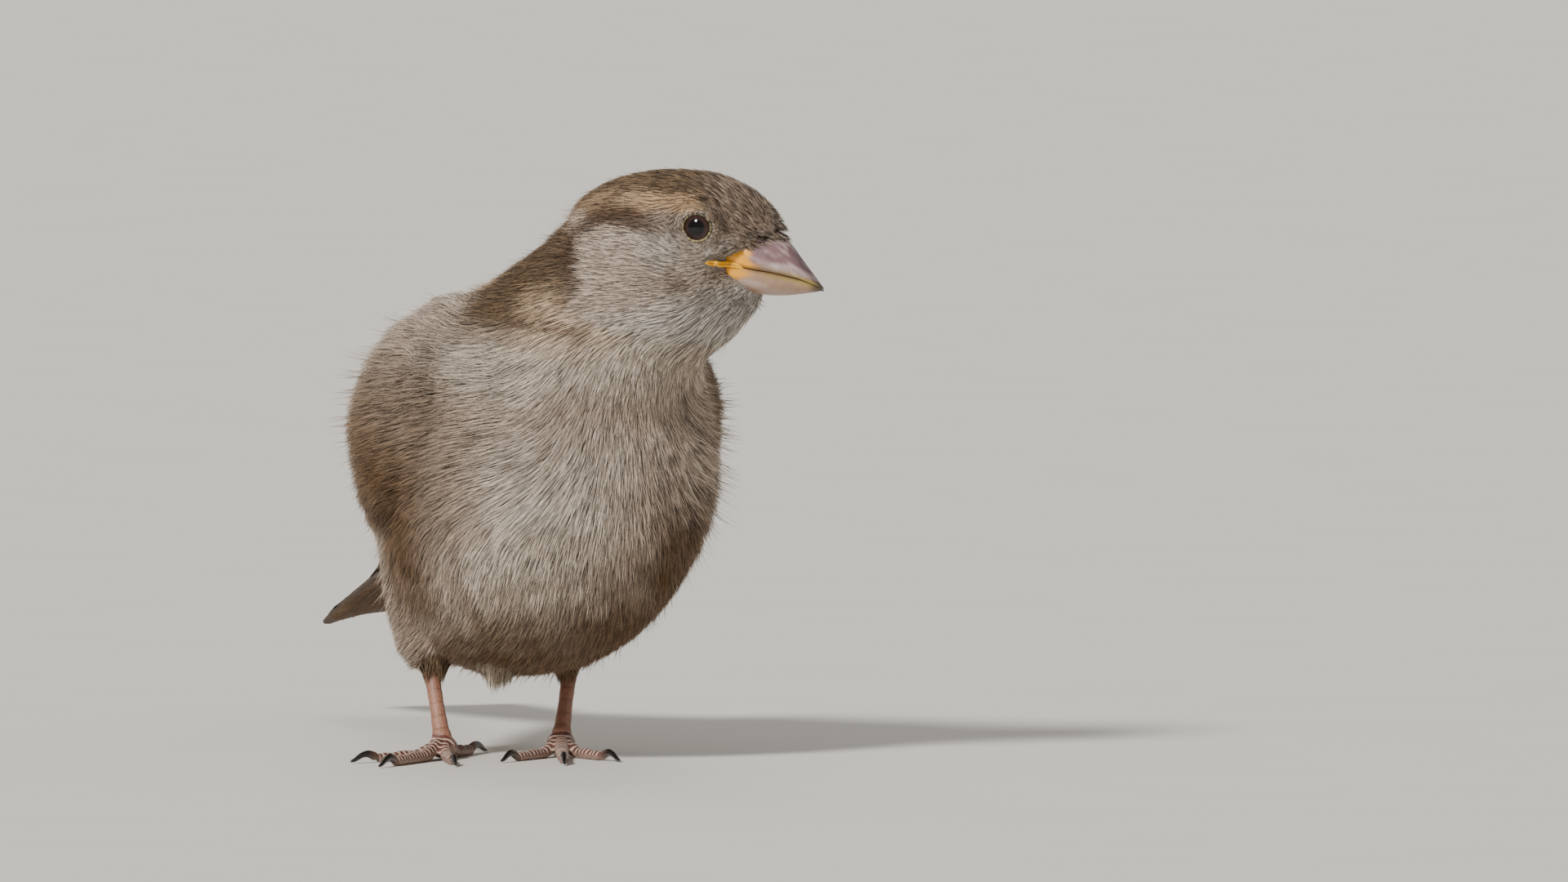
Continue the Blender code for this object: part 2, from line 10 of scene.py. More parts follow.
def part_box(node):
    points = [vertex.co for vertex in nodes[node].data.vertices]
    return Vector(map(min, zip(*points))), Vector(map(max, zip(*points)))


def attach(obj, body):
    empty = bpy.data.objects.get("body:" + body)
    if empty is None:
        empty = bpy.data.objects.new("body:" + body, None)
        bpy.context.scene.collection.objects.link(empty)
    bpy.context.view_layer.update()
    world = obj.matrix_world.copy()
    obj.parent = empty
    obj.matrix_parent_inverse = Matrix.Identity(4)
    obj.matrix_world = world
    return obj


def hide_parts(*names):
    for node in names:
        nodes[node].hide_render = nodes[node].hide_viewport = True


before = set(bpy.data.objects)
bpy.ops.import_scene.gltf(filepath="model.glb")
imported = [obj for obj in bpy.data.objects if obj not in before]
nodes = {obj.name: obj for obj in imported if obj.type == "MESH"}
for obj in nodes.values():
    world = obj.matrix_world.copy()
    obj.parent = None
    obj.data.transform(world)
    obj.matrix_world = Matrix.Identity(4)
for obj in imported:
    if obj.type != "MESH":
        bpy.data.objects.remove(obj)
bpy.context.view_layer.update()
mm = 0.001
up = Vector((0, 0, 1))
bothSides = (("left", 1), ("right", -1))

# from the eyes to the middle of the head, and from there to the middle of the body
placeSet = {"eyeAhead": 4.1, "eyeAbove": 2.0, "bodyRight": 8.2, "bodyBack": 30.0}
# the rear's curve to the bird's left: where it starts, how much it leans, how softly
curveSet = {"start": 9.0, "lean": 0.1, "softness": 60.0}


# landmarks, all read from the frame

def middleOf(node):
    low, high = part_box(node)
    return (low + high) / 2


eyeMiddle = (middleOf("eye_left") + middleOf("eye_right")) / 2
billTip = max((v.co.copy() for v in nodes["bill_upper"].data.vertices), key=lambda p: (p - eyeMiddle).length)
headForward = Vector((billTip.x - eyeMiddle.x, billTip.y - eyeMiddle.y, 0)).normalized()
headLeft = up.cross(headForward)
headMiddle = eyeMiddle - headForward * placeSet["eyeAhead"] * mm - up * placeSet["eyeAbove"] * mm
bodyMiddle = Vector((headMiddle.x - placeSet["bodyRight"] * mm, headMiddle.y + placeSet["bodyBack"] * mm, 0))


# how far the rear of the body curves to the bird's left, at a place fore and aft, in millimetres
def swing(y):
    past = np.asarray(y, float) - curveSet["start"]
    return curveSet["lean"] * (past + np.sqrt(past * past + curveSet["softness"]))


# points as forward, left and up of the head's middle, in millimetres
def inHead(points):
    rel = (np.asarray(points) - np.array(headMiddle)) / mm
    return rel @ np.array([headForward, headLeft, up]).T


# points from the body's middle on the floor, with the curve of the rear taken out
def inBody(points):
    rel = (np.asarray(points) - np.array(bodyMiddle)) / mm
    rel[..., 0] -= swing(rel[..., 1])
    return rel


def fromHead(forward, left, high):
    return headMiddle + (headForward * forward + headLeft * left + up * high) * mm


# how far points lie from an eye's middle: flat over the eye, outwards, and the flat distance
def fromEye(points, centre, out):
    gap = (points - np.array(centre)) / mm
    high = gap @ np.array(out)
    flat = gap - high[:, None] * np.array(out)
    return flat, high, np.linalg.norm(flat, axis=1)


# the middles of the top and the foot of a shank
def shankEnds(side):
    low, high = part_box("tarsus_" + side)
    places = np.array([v.co for v in nodes["tarsus_" + side].data.vertices])
    top = places[places[:, 2] > high.z - 0.4 * mm].mean(axis=0)
    foot = places[places[:, 2] < low.z + 0.6 * mm].mean(axis=0)
    return top, foot


print("landmarks: head at", [round(v / mm, 1) for v in headMiddle], "mm")


# small maths used by every piece

def smooth(low, high, value):
    t = np.clip((np.asarray(value, float) - low) / (high - low), 0, 1)
    return t * t * (3 - 2 * t)


def fade(a, b, amount):
    return a * (1 - amount) + b * amount


# two colours or directions mixed, point by point
def blend(a, b, amount):
    return fade(a, b, np.asarray(amount)[..., None])


# a colour as seen on a screen, 0 to 255, made linear
def colour(red, green, blue):
    c = np.array([red, green, blue]) / 255
    return np.where(c <= 0.04045, c / 12.92, ((c + 0.055) / 1.055) ** 2.4)


# soft seeded noise between -1 and 1; size is its blotch size in the units of points
def ripple(points, size, seed):
    rng = np.random.default_rng(seed)
    ways = rng.normal(size=(7, 3))
    ways /= np.linalg.norm(ways, axis=1)[:, None]
    scales = rng.uniform(0.6, 1.7, 7)
    phases = rng.uniform(0, 6.28, 7)
    waves = np.sin(np.asarray(points) @ ways.T * scales * (3.0 / size) + phases)
    return np.clip(waves.mean(axis=-1) * 2.2, -1, 1)


def unit(vectors):
    return vectors / np.maximum(np.linalg.norm(vectors, axis=-1, keepdims=True), 1e-12)


# distance in a plane from points to a line of points
def pathDistance(x, y, path):
    best = np.full(np.shape(x), 1e9)
    for (ax, ay), (bx, by) in zip(path, path[1:]):
        dx, dy = bx - ax, by - ay
        t = np.clip(((x - ax) * dx + (y - ay) * dy) / (dx * dx + dy * dy), 0, 1)
        best = np.minimum(best, np.hypot(x - ax - dx * t, y - ay - dy * t))
    return best


# making objects

def showPiece(obj, replaced=(), slot=None):
    bpy.context.scene.collection.objects.link(obj)
    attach(obj, "root")
    if replaced:
        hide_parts(*replaced)
    return obj


def shadeSoftly(mesh):
    mesh.polygons.foreach_set("use_smooth", np.ones(len(mesh.polygons), bool))


# a mesh from arrays; faces is a list of equal-sided face arrays
def meshFrom(name, verts, faces, colours=None):
    mesh = bpy.data.meshes.new(name)
    verts = np.asarray(verts, np.float32)
    mesh.vertices.add(len(verts))
    mesh.vertices.foreach_set("co", verts.ravel())
    loops = np.concatenate([f.ravel() for f in faces]).astype(np.int32)
    counts = np.concatenate([np.full(len(f), f.shape[1]) for f in faces])
    starts = np.concatenate([[0], np.cumsum(counts)[:-1]]).astype(np.int32)
    mesh.loops.add(len(loops))
    mesh.loops.foreach_set("vertex_index", loops)
    mesh.polygons.add(len(counts))
    mesh.polygons.foreach_set("loop_start", starts)
    mesh.update(calc_edges=True)
    shadeSoftly(mesh)
    if colours is not None:
        paintPoints(mesh, colours)
    return mesh


def paintPoints(mesh, colours):
    layer = mesh.color_attributes.new(name="plumage", type="FLOAT_COLOR", domain="POINT")
    rgba = np.ones((len(colours), 4), np.float32)
    rgba[:, :3] = np.clip(colours, 0, 1)
    layer.data.foreach_set("color", rgba.ravel())


# each point's place on the bake map
def mapOn(mesh, places, faces):
    layer = mesh.uv_layers.new(name="OFBake")
    order = np.concatenate([f.ravel() for f in faces])
    layer.data.foreach_set("uv", places[order].astype(np.float32).ravel())


def pointsOf(mesh):
    co = np.zeros(len(mesh.vertices) * 3, np.float32)
    mesh.vertices.foreach_get("co", co)
    return co.reshape(-1, 3).astype(float)


def normalsOf(mesh):
    co = np.zeros(len(mesh.vertices) * 3, np.float32)
    mesh.vertex_normals.foreach_get("vector", co)
    return co.reshape(-1, 3).astype(float)


def applied(obj):
    graph = bpy.context.evaluated_depsgraph_get()
    mesh = bpy.data.meshes.new_from_object(obj.evaluated_get(graph))
    obj.modifiers.clear()
    obj.data = mesh
    return obj


# a CAD node's mesh, moved out along its normals
def swollen(nodeName, amount):
    part = bmesh.new()
    part.from_mesh(nodes[nodeName].data)
    bmesh.ops.remove_doubles(part, verts=part.verts, dist=2e-6)
    part.normal_update()
    moved = [v.co + v.normal * amount * mm for v in part.verts]
    for v, place in zip(part.verts, moved):
        v.co = place
    return part


# an object that is in the scene only while its modifiers are worked out
def modified(name, mesh, modifiers):
    obj = bpy.data.objects.new(name, mesh)
    bpy.context.scene.collection.objects.link(obj)
    for kind, settings in modifiers:
        added = obj.modifiers.new(kind.lower(), kind)
        for key, value in settings.items():
            setattr(added, key, value)
    applied(obj)
    bpy.context.scene.collection.objects.unlink(obj)
    shadeSoftly(obj.data)
    return obj


# one closed mesh over several CAD nodes: each is puffed to bridge the cuts, then shrunk back
def grownTogether(name, nodeNames, puff, voxel, softening):
    whole = bmesh.new()
    for nodeName in nodeNames:
        part = swollen(nodeName, puff)
        step = bpy.data.meshes.new("step")
        part.to_mesh(step)
        part.free()
        whole.from_mesh(step)
        bpy.data.meshes.remove(step)
    mesh = bpy.data.meshes.new(name)
    whole.to_mesh(mesh)
    whole.free()
    fuse = ("REMESH", {"mode": "VOXEL", "voxel_size": voxel * mm})
    soften = ("SMOOTH", {"factor": 0.5, "iterations": softening})
    return modified(name, mesh, (fuse, soften))


# materials

def material(name, roughness=0.6, sheen=0.0, coat=0.0, specular=0.5, subsurface=0.0):
    made = bpy.data.materials.new(name)
    made.use_nodes = True
    shader = made.node_tree.nodes["Principled BSDF"]
    shader.inputs["Roughness"].default_value = roughness
    shader.inputs["Sheen Weight"].default_value = sheen
    shader.inputs["Coat Weight"].default_value = coat
    shader.inputs["Specular IOR Level"].default_value = specular
    if subsurface:
        shader.inputs["Subsurface Weight"].default_value = subsurface
        shader.inputs["Subsurface Radius"].default_value = (1.0, 0.5, 0.3)
        shader.inputs["Subsurface Scale"].default_value = 0.0008
    return made, made.node_tree, shader


def addNode(tree, kind, **settings):
    made = tree.nodes.new(kind)
    for key, value in settings.items():
        if key in made.inputs:
            made.inputs[key].default_value = value
        else:
            setattr(made, key, value)
    return made


def noiseNode(tree, scale, detail=2.0):
    made = addNode(tree, "ShaderNodeTexNoise")
    made.inputs["Scale"].default_value = scale
    made.inputs["Detail"].default_value = detail
    return made


# a finish that takes its colour from the painted points and breaks it up with fine noise
def paintedFinish(name, grain=2600.0, low=0.82, high=1.16, bump=0.0, bumpScale=3000.0, **look):
    made, tree, shader = material(name, **look)
    paint = addNode(tree, "ShaderNodeAttribute", attribute_name="plumage")
    where = addNode(tree, "ShaderNodeTexCoord")
    noise = noiseNode(tree, grain, 3.0)
    ramp = addNode(tree, "ShaderNodeMapRange")
    ramp.inputs["From Min"].default_value = 0.3
    ramp.inputs["From Max"].default_value = 0.7
    ramp.inputs["To Min"].default_value = low
    ramp.inputs["To Max"].default_value = high
    scaled = addNode(tree, "ShaderNodeVectorMath", operation="SCALE")
    tree.links.new(where.outputs["Object"], noise.inputs["Vector"])
    tree.links.new(noise.outputs["Fac"], ramp.inputs["Value"])
    tree.links.new(paint.outputs["Color"], scaled.inputs[0])
    tree.links.new(ramp.outputs["Result"], scaled.inputs["Scale"])
    tree.links.new(scaled.outputs["Vector"], shader.inputs["Base Color"])
    if bump:
        rough = noiseNode(tree, bumpScale, 4.0)
        relief = addNode(tree, "ShaderNodeBump")
        relief.inputs["Strength"].default_value = bump
        relief.inputs["Distance"].default_value = 0.0002
        tree.links.new(where.outputs["Object"], rough.inputs["Vector"])
        tree.links.new(rough.outputs["Fac"], relief.inputs["Height"])
        tree.links.new(relief.outputs["Normal"], shader.inputs["Normal"])
    return made


# the markings, with some painted shade, shared by skin and plumage

marks = {
    "breast": colour(190, 172, 154),
    "breastDeep": colour(150, 130, 110),
    "bellyPale": colour(218, 206, 190),
    "flank": colour(112, 90, 68),
    "underBrownAndShade": colour(96, 68, 36),
    "throat": colour(216, 206, 194),
    "cheek": colour(196, 177, 159),
    "crown": colour(138, 112, 84),
    "forehead": colour(172, 148, 126),
    "whitish": colour(206, 196, 182),
    "crownStreak": colour(46, 33, 24),
    "brow": colour(210, 172, 128),
    "eyeStripe": colour(76, 52, 34),
    "nape": colour(110, 88, 64),
    "neckBuff": colour(204, 176, 144),
    "lore": colour(170, 150, 134),
    "mantle": colour(138, 110, 82),
    "mantleStreak": colour(40, 29, 22),
    "mantleBrace": colour(188, 158, 120),
    "rump": colour(140, 118, 96),
    "undertail": colour(196, 182, 164),
}
# lines on the side of the head, as forward and up of its middle
stripePath = (
    (1.6, 2.2), (-1.6, 2.3), (-4.5, 2.7), (-6.8, 2.9), (-9.9, 2.2), (-11.8, 0.8), (-12.6, -2.0),
    (-12.4, -5.2),
)
# a painted shadow line under the ruff, where the neck feathers overlap the breast
collarShadowPath = ((-23.0, -9.9), (-17.7, -10.5), (-12.5, -11.1), (-8.4, -11.8))
browPath = ((5.6, 3.6), (2.9, 4.9), (-1.2, 5.1), (-6.0, 5.0), (-11.0, 4.6), (-14.5, 2.0))
crownEdge = (
    (-14.0, 2.4), (-12.7, 3.4), (-10.0, 4.9), (-7.5, 5.9), (-2.4, 6.5), (2.6, 5.9), (4.6, 4.6), (6.4, 2.0),
    (8.4, 0.2), (11.5, -0.6),
)


# colour of the plumage, and how strongly each feather has a dark middle streak
def plumageAt(points, normals):
    f, l, u = inHead(points).T
    x, y, z = inBody(points).T
    side = np.abs(l)
    _, ny, nz = normals.T
    rough = ripple(inBody(points), 9.0, 3)
    fine = ripple(inBody(points), 3.0, 4)
    # underparts
    tint = blend(marks["breast"], marks["breastDeep"], smooth(-0.1, 0.9, rough) * 0.25)
    middle = np.abs(x + 7.0 + 1.5 * rough)
    pale = (1 - smooth(3.5, 11.0, middle)) * smooth(44, 32, z) * smooth(14, 21, z) * smooth(0.2, -0.4, ny)
    tint = blend(tint, marks["bellyPale"], np.clip(pale, 0, 1) * (0.55 + 0.25 * fine))
    tint = blend(tint, marks["bellyPale"], smooth(42, 47, z) * smooth(-8, -14, y) * smooth(12, 4, x) * 0.45)
    # partly painted shade: the lower belly turns darker brown towards the bottom, for its own flank colour
    # and for the shade under the body
    low = smooth(26, 12, z)
    tint = blend(tint, marks["flank"], np.clip(low * smooth(4, 14, np.abs(x + 6)), 0, 1) * 0.6)
    tint = blend(tint, marks["flank"], smooth(13, 19, np.abs(x)) * smooth(54, 44, z) * 0.75)
    # painted shade, with some real brown: the rim under the body, where the surfaces face down, and the low
    # sides turn dark warm brown
    rim = smooth(-0.35, -0.80, nz + 0.12 * fine) * smooth(28, 15, z + 3 * rough + 2 * fine)
    rim = np.maximum(rim, smooth(2, 10, x + 1.5 * fine) * smooth(36, 25, z))
    rim = np.maximum(rim, smooth(-13, -4, y) * smooth(-10, -15, x) * smooth(48, 33, z) * 0.95)
    tint = blend(tint, marks["underBrownAndShade"], np.clip(rim * (0.85 + 0.15 * fine), 0, 1) * smooth(9, 3, y))
    tint = blend(tint, marks["undertail"], smooth(6, 16, y) * smooth(24, 14, z) * 0.8)
    streak = np.zeros(len(x))
    # back
    back = smooth(-0.05, 0.45, nz) * smooth(-26, -14, y) * smooth(38, 46, z + 0.55 * np.maximum(y, 0))
    back = back * (1 - smooth(9.5, 12.5, np.abs(x)) * smooth(8, 2, y))
    band = np.sin(x * 1.25 + 0.9 * rough) * 0.5 + 0.5
    upper = blend(marks["mantle"], marks["mantleBrace"], smooth(0.72, 0.95, band) * smooth(3, 7, np.abs(x)))
    rump = smooth(20, 30, y)
    upper = blend(upper, marks["rump"], rump)
    tint = blend(tint, upper, back)
    streak = fade(streak, 0.9 * (1 - rump) * (0.35 + 0.65 * smooth(0.4, 0.0, band)), back)
    # neck
    neck = smooth(44, 54, z) * smooth(-8, -14, y)
    hind = smooth(-2.0, -9.0, f + 0.15 * side)
    buff = np.clip(smooth(-4.0, -8.0, u) * smooth(2, 7, side), 0, 1)
    napeTint = blend(marks["nape"], marks["neckBuff"], buff)
    tint = blend(tint, napeTint, np.clip(neck * hind * smooth(-17, -9, u), 0, 1))
    streak = fade(streak, 0.75 * (1 - 0.6 * buff), np.clip(neck * hind * smooth(-13, -4, u), 0, 1))
    # head
    head = np.clip(smooth(-13.5, -10.5, u + 0.2 * f) * smooth(-16.0, -12.0, f), 0, 1)
    face = blend(marks["cheek"], marks["throat"], smooth(-5.5, -9.0, u - 0.25 * f))
    eyeGap = np.hypot(f - 4.1, u - 2.0)
    pale = smooth(3.2, 0.6, np.hypot((f + 0.6) * 0.8, u + 0.3)) * 0.75
    pale = np.maximum(pale, smooth(1.0, 0.4, np.abs(eyeGap - 2.7)) * smooth(2.2, 3.2, u) * 0.7)
    pale = np.maximum(pale, smooth(2.6, 1.0, np.hypot(f - 5.8, u + 1.1)) * 0.5)
    face = blend(face, marks["whitish"], np.clip(pale, 0, 1))
    edge = np.interp(f, *zip(*crownEdge))
    crown = smooth(-0.7, 0.7, u - edge + 0.6 * fine)
    brow = pathDistance(f, u, browPath) - 0.3 * smooth(-2, -7, f) + 1.2 * smooth(-7, -12, f)
    browShare = np.clip(smooth(2.0, 0.9, brow + 0.3 * fine) * smooth(8, 4, f), 0, 1)
    face = blend(face, marks["brow"], browShare * (0.9 - 0.45 * smooth(-1, -8, f)))
    hindBrow = blend(marks["nape"], marks["brow"], 0.30)
    face = blend(face, hindBrow, smooth(-3, -8, f) * smooth(2.0, 3.4, u) * 0.8)
    face = blend(face, marks["nape"], smooth(-11.6, -13.0, f) * smooth(-9, -7, u) * 0.9)
    front = smooth(1.0, 6.5, f)
    crownTint = blend(marks["crown"], marks["forehead"], front)
    face = blend(face, crownTint, crown)
    whisker = smooth(1.5, 0.5, np.hypot((f - 1.4) * 0.8, u + 5.0))
    whisker = whisker + smooth(1.1, 0.4, np.hypot((f - 0.4) * 0.7, u + 3.2)) * 0.6
    face = blend(face, marks["eyeStripe"], np.clip(whisker * smooth(2, 4, side), 0, 1) * 0.5)
    tint = blend(tint, face, head)
    streak = fade(streak, (0.9 + 0.5 * front) * crown + 0.10, head)
    stripe = pathDistance(f, u, stripePath) + 0.35 * fine
    dark = smooth(1.45, 0.5, stripe) * smooth(2.5, 4.5, side) * (1 - 0.55 * smooth(-4.0, 1.0, f))
    broken = smooth(-1.0, -4.0, u) * smooth(-0.4, 0.4, fine)
    dark = np.clip(dark * smooth(-10, -16, y) * (1 - 0.5 * broken), 0, 1)
    tint = blend(tint, marks["eyeStripe"], dark * 0.85)
    # painted shadow along the collar line
    fold = smooth(1.0, 0.3, pathDistance(f, u, collarShadowPath) + 0.4 * fine)
    fold = fold * smooth(-2, -5, l) * smooth(-8.5, -12.5, f)
    tint = blend(tint, marks["eyeStripe"], np.clip(fold, 0, 1) * 0.8)
    return tint, streak


def streakColour(points):
    f, l, u = inHead(points).T
    head = np.clip(smooth(-13.5, -10.5, u) * smooth(-15.5, -10.5, f), 0, 1)
    return blend(np.broadcast_to(marks["mantleStreak"], points.shape), marks["crownStreak"], head)


# bill

billSet = {
    # forward, ridge, mouth line, keel, half width
    "rows": (
        (3.6, -0.4, -2.3, -4.9, 2.2),
        (4.8, 0.8, -2.3, -5.4, 3.5),
        (6.4, 1.5, -2.4, -5.7, 4.0),
        (8.0, 1.85, -2.75, -6.05, 4.1),
        (10.2, 1.85, -3.2, -6.35, 3.9),
        (12.0, 1.45, -3.5, -6.45, 3.45),
        (13.6, 0.0, -3.9, -6.4, 2.75),
        (15.2, -2.1, -4.35, -6.2, 1.95),
        (16.6, -3.9, -4.95, -6.0, 1.15),
        (17.4, -4.95, -5.4, -5.85, 0.6),
        (17.9, -5.6, -5.72, -5.84, 0.2),
    ),
    "horn": colour(130, 100, 102),
    "paleHornAndSheen": colour(208, 186, 180),
    "tip": colour(48, 37, 36),
    "pink": colour(160, 128, 104),
    "orange": colour(252, 172, 6),
    "edge": colour(160, 138, 62),
    "line": colour(96, 62, 30),
    "nostril": colour(70, 34, 26),
}


# rows read evenly off a smooth curve through a table
def curveRows(rows, count):
    rows = np.array(rows, float)
    padded = np.vstack([2 * rows[0] - rows[1], rows, 2 * rows[-1] - rows[-2]])
    found = []
    for place in np.linspace(0, len(rows) - 1, count):
        i = min(int(place), len(rows) - 2)
        t = place - i
        a, b, c, d = padded[i : i + 4]
        bend = (2 * a - 5 * b + 4 * c - d) * t**2 + (3 * b - a - 3 * c + d) * t**3
        found.append(0.5 * (2 * b + (c - a) * t + bend))
    return np.array(found)


# mauve-grey horn above, pinkish below, yellow at the gape and a dark tip
def billColour(f, l, u, mouth, ridge, upper):
    n = ripple(np.stack([f * 0.5, l, u * 2.2], axis=-1), 1.5, 31)
    flakeAndSheen = ripple(np.stack([f * 0.8, l * 2, (u + 0.55 * f) * 3.0], axis=-1), 1.3, 33) * smooth(9, 12, f)
    plain = np.broadcast_to(billSet["horn" if upper else "pink"], (*f.shape, 3))
    above, below = u - mouth, mouth - u
    if upper:
        # partly painted highlight: the pale streaks stand for both flaky horn and sheen
        light = smooth(0.0, 0.9, n) * 0.5 + smooth(0.3, 0.9, flakeAndSheen) * 0.5
        tint = blend(plain, billSet["paleHornAndSheen"], np.clip(light, 0, 1))
        tint = blend(tint, billSet["horn"] * 0.6, smooth(0.35, 0.9, -flakeAndSheen) * 0.4)
        gold = smooth(10.3, 9.3, f + 0.5 * n) * smooth(3.1, 2.3, above - 0.2 * (f - 6))
        gold = np.maximum(gold, smooth(1.1, 0.5, above) * smooth(11.5, 9.0, f))
        tint = blend(tint, billSet["orange"], np.clip(gold, 0, 1) * 0.95)
        edge = np.clip(smooth(0.75, 0.2, above) * smooth(8.6, 10.5, f), 0, 1)
        tint = blend(tint, billSet["edge"], edge * 0.85)
        tint = blend(tint, billSet["line"], smooth(0.20, 0.05, above) * smooth(17, 15, f) * 0.8)
        tint = blend(tint, billSet["tip"], smooth(16.4, 17.9, f) * 0.75)
        worn = np.clip(smooth(0.9, 0.1, ridge - u) * smooth(13, 15.5, f), 0, 1)
        tint = blend(tint, billSet["tip"], worn * 0.55)
    else:
        # partly painted reflection: pale patches on the lower mandible
        tint = blend(plain, billSet["paleHornAndSheen"], smooth(0.0, 0.9, n) * 0.4)
        gold = smooth(9.6, 7.0, f + 0.9 * below - 1.2 + 0.5 * n)
        tint = blend(tint, billSet["orange"], np.clip(gold, 0, 1) * 0.92)
        edge = np.clip(smooth(0.9, 0.2, below) * smooth(9.5, 12.5, f), 0, 1)
        tint = blend(tint, billSet["edge"], edge * 0.75)
        tint = blend(tint, billSet["line"], smooth(0.16, 0.04, below) * smooth(17, 15, f) * 0.8)
        tint = blend(tint, billSet["tip"], smooth(15.9, 17.3, f) * 0.85)
    return tint


# a closed piece of horn or skin from rings of points, given as forward, left and up of the head
def ringPiece(name, rings, tints, finish, replaced=()):
    count, sides = rings.shape[:2]
    world = np.array(headMiddle) + (rings.reshape(-1, 3) @ np.array([headForward, headLeft, up])) * mm
    grid = np.arange(count * sides).reshape(count, sides)
    nxt = np.roll(grid, -1, axis=1)
    quads = np.stack([grid[:-1], nxt[:-1], nxt[1:], grid[1:]], axis=-1).reshape(-1, 4)
    ends = [grid[0][::-1][None, :], grid[-1][None, :]]
    mesh = meshFrom(name, world, [quads, *ends], tints.reshape(-1, 3))
    turned = bmesh.new()
    turned.from_mesh(mesh)
    bmesh.ops.recalc_face_normals(turned, faces=turned.faces)
    turned.to_mesh(mesh)
    turned.free()
    mesh.materials.append(finish)
    return showPiece(bpy.data.objects.new(name, mesh), replaced, "bill_horn")


def makeBill(name, upper, node):
    rows = curveRows(billSet["rows"], 70)
    sides = 44
    verts, tints = [], []
    for f, ridge, mouth, keel, width in rows:
        line = mouth + (0.05 if upper else -0.05)
        reach = (ridge if upper else keel) - line
        a = np.linspace(0, math.pi, sides)
        power = 0.86 if upper else 0.78
        l = width * np.sign(np.cos(a)) * np.abs(np.cos(a)) ** 0.92
        u = line + reach * np.sin(a) ** power
        if upper:  # a low ridge along the top, and a nostril hollow near the base
            u += 0.10 * np.exp(-((l / 0.5) ** 2)) * smooth(8, 11, f)
            pit = np.exp(-(((f - 11.3) / 0.42) ** 2) - (((u - (ridge - 1.15)) / 0.34) ** 2))
            l = l * (1 - 0.22 * pit)
        fold = 0.10 * np.exp(-(((u - line - (0.55 if upper else -0.5)) / 0.22) ** 2)) * smooth(16, 12, f)
        l = l * (1 - fold * 0.35)
        verts.append(np.stack([np.full(sides, f), l, u], axis=1))
        tints.append(billColour(np.full(sides, f), l, u, mouth, ridge, upper))
    verts, tints = np.array(verts), np.array(tints)
    if upper:
        pit = np.exp(-(((verts[..., 0] - 11.3) / 0.34) ** 2) - (((verts[..., 2] - 0.55) / 0.26) ** 2))
        shown = np.clip(pit * smooth(1.2, 1.8, np.abs(verts[..., 1])), 0, 1)
        tints = blend(tints, billSet["nostril"], shown * 0.85)
    return ringPiece(name, verts, tints, hornFinish, (node,))


hornFinish = paintedFinish("billHorn", grain=1400.0, low=0.9, high=1.1, bump=0.10, bumpScale=1800.0,
                           roughness=0.30, coat=0.35, subsurface=0.08)
bill = [makeBill("billUpper", True, "bill_upper"), makeBill("billLower", False, "bill_lower")]
print("bill made")


def treeOf(objects):
    verts, faces = [], []
    for obj in objects:
        start = len(verts)
        verts += [v.co.copy() for v in obj.data.vertices]
        faces += [tuple(start + i for i in p.vertices) for p in obj.data.polygons]
    return BVHTree.FromPolygons(verts, faces)


# skin: one closed surface inside the plumage

skinSet = {
    "puff": 0.30, "voxel": 0.58, "softening": 12,
    "bodyDepth": 1.0, "faceDepth": 0.10, "wingDepth": 0.8,
    # painted shade: the skin is darkened for the shade deep in the plumage
    "shade": 0.36,  # how much darker the skin is than the feathers on it
}
# where the feathers of the face stop at the bill: height, and how far forward
featherLine = (
    (-9.0, 11.2), (-7.6, 10.6), (-6.9, 10.2), (-6.3, 9.6), (-5.9, 9.0), (-5.2, 7.8), (-4.5, 6.6), (-2.8, 6.3),
    (-1.6, 6.5), (-1.2, 7.3),
    (-0.6, 8.7), (-0.05, 10.4), (0.4, 11.7), (0.85, 12.9), (1.6, 14.0),
)
fleshTree = treeOf([nodes[n] for n in ("trunk", "neck", "head", "thigh_left", "thigh_right")])
wingTrees = {side: treeOf([nodes["wing_" + side]]) for side in ("left", "right")}
headTree = treeOf([nodes["head"]])
billTree = treeOf(bill)


# how far a point lies in front of the face's feathers; below zero is feathered
def pastFeathers(points):
    f, l, u = inHead(points).T
    return f - np.interp(u, *zip(*featherLine))


# 1 on the folded wings behind the bend, 0 on the body, soft between
def onWing(points):
    share = np.zeros(len(points))
    for i, p in enumerate(points):
        wing = min(tree.find_nearest(p)[3] for tree in wingTrees.values())
        share[i] = (fleshTree.find_nearest(p)[3] - wing) / mm
    return smooth(-0.4, 0.6, share) * smooth(-7.0, -3.5, inBody(points)[:, 1])


# how far the skin lies under the tips of the feathers
def coatDepth(points, wing):
    f, l, u = inHead(points).T
    fromBill = np.sqrt((f - 11) ** 2 + l**2 * 0.6 + (u + 3) ** 2)
    deep = skinSet["faceDepth"] + (skinSet["bodyDepth"] - skinSet["faceDepth"]) * smooth(8, 34, fromBill)
    deep = deep + 0.8 * smooth(-5.0, -8.0, u) * smooth(1, 6, f)
    return fade(deep, skinSet["wingDepth"], wing)


# draws the skin in to the bill where the feathers stop, so that the bill's sides stand free
def easedToBill(places):
    past = pastFeathers(places)
    f, l, u = inHead(places).T
    amount = smooth(-1.5, 0.1, past) * smooth(1.2, 0.3, u) * smooth(-10.5, -8.5, u)
    for i in np.nonzero((amount > 0) & (f > 3) & (np.abs(l) < 8))[0]:
        p = Vector(places[i])
        hit, normal, _, gap = billTree.find_nearest(p)
        level = (0.18 - 0.43 * smooth(-0.6, 0.1, past[i])) * mm
        high = (p - hit).dot(normal)
        if high > level or (u[i] < -4.4 and gap < 1.5 * mm and past[i] < 0):
            places[i] = p.lerp(hit + normal * level, amount[i])
    return places


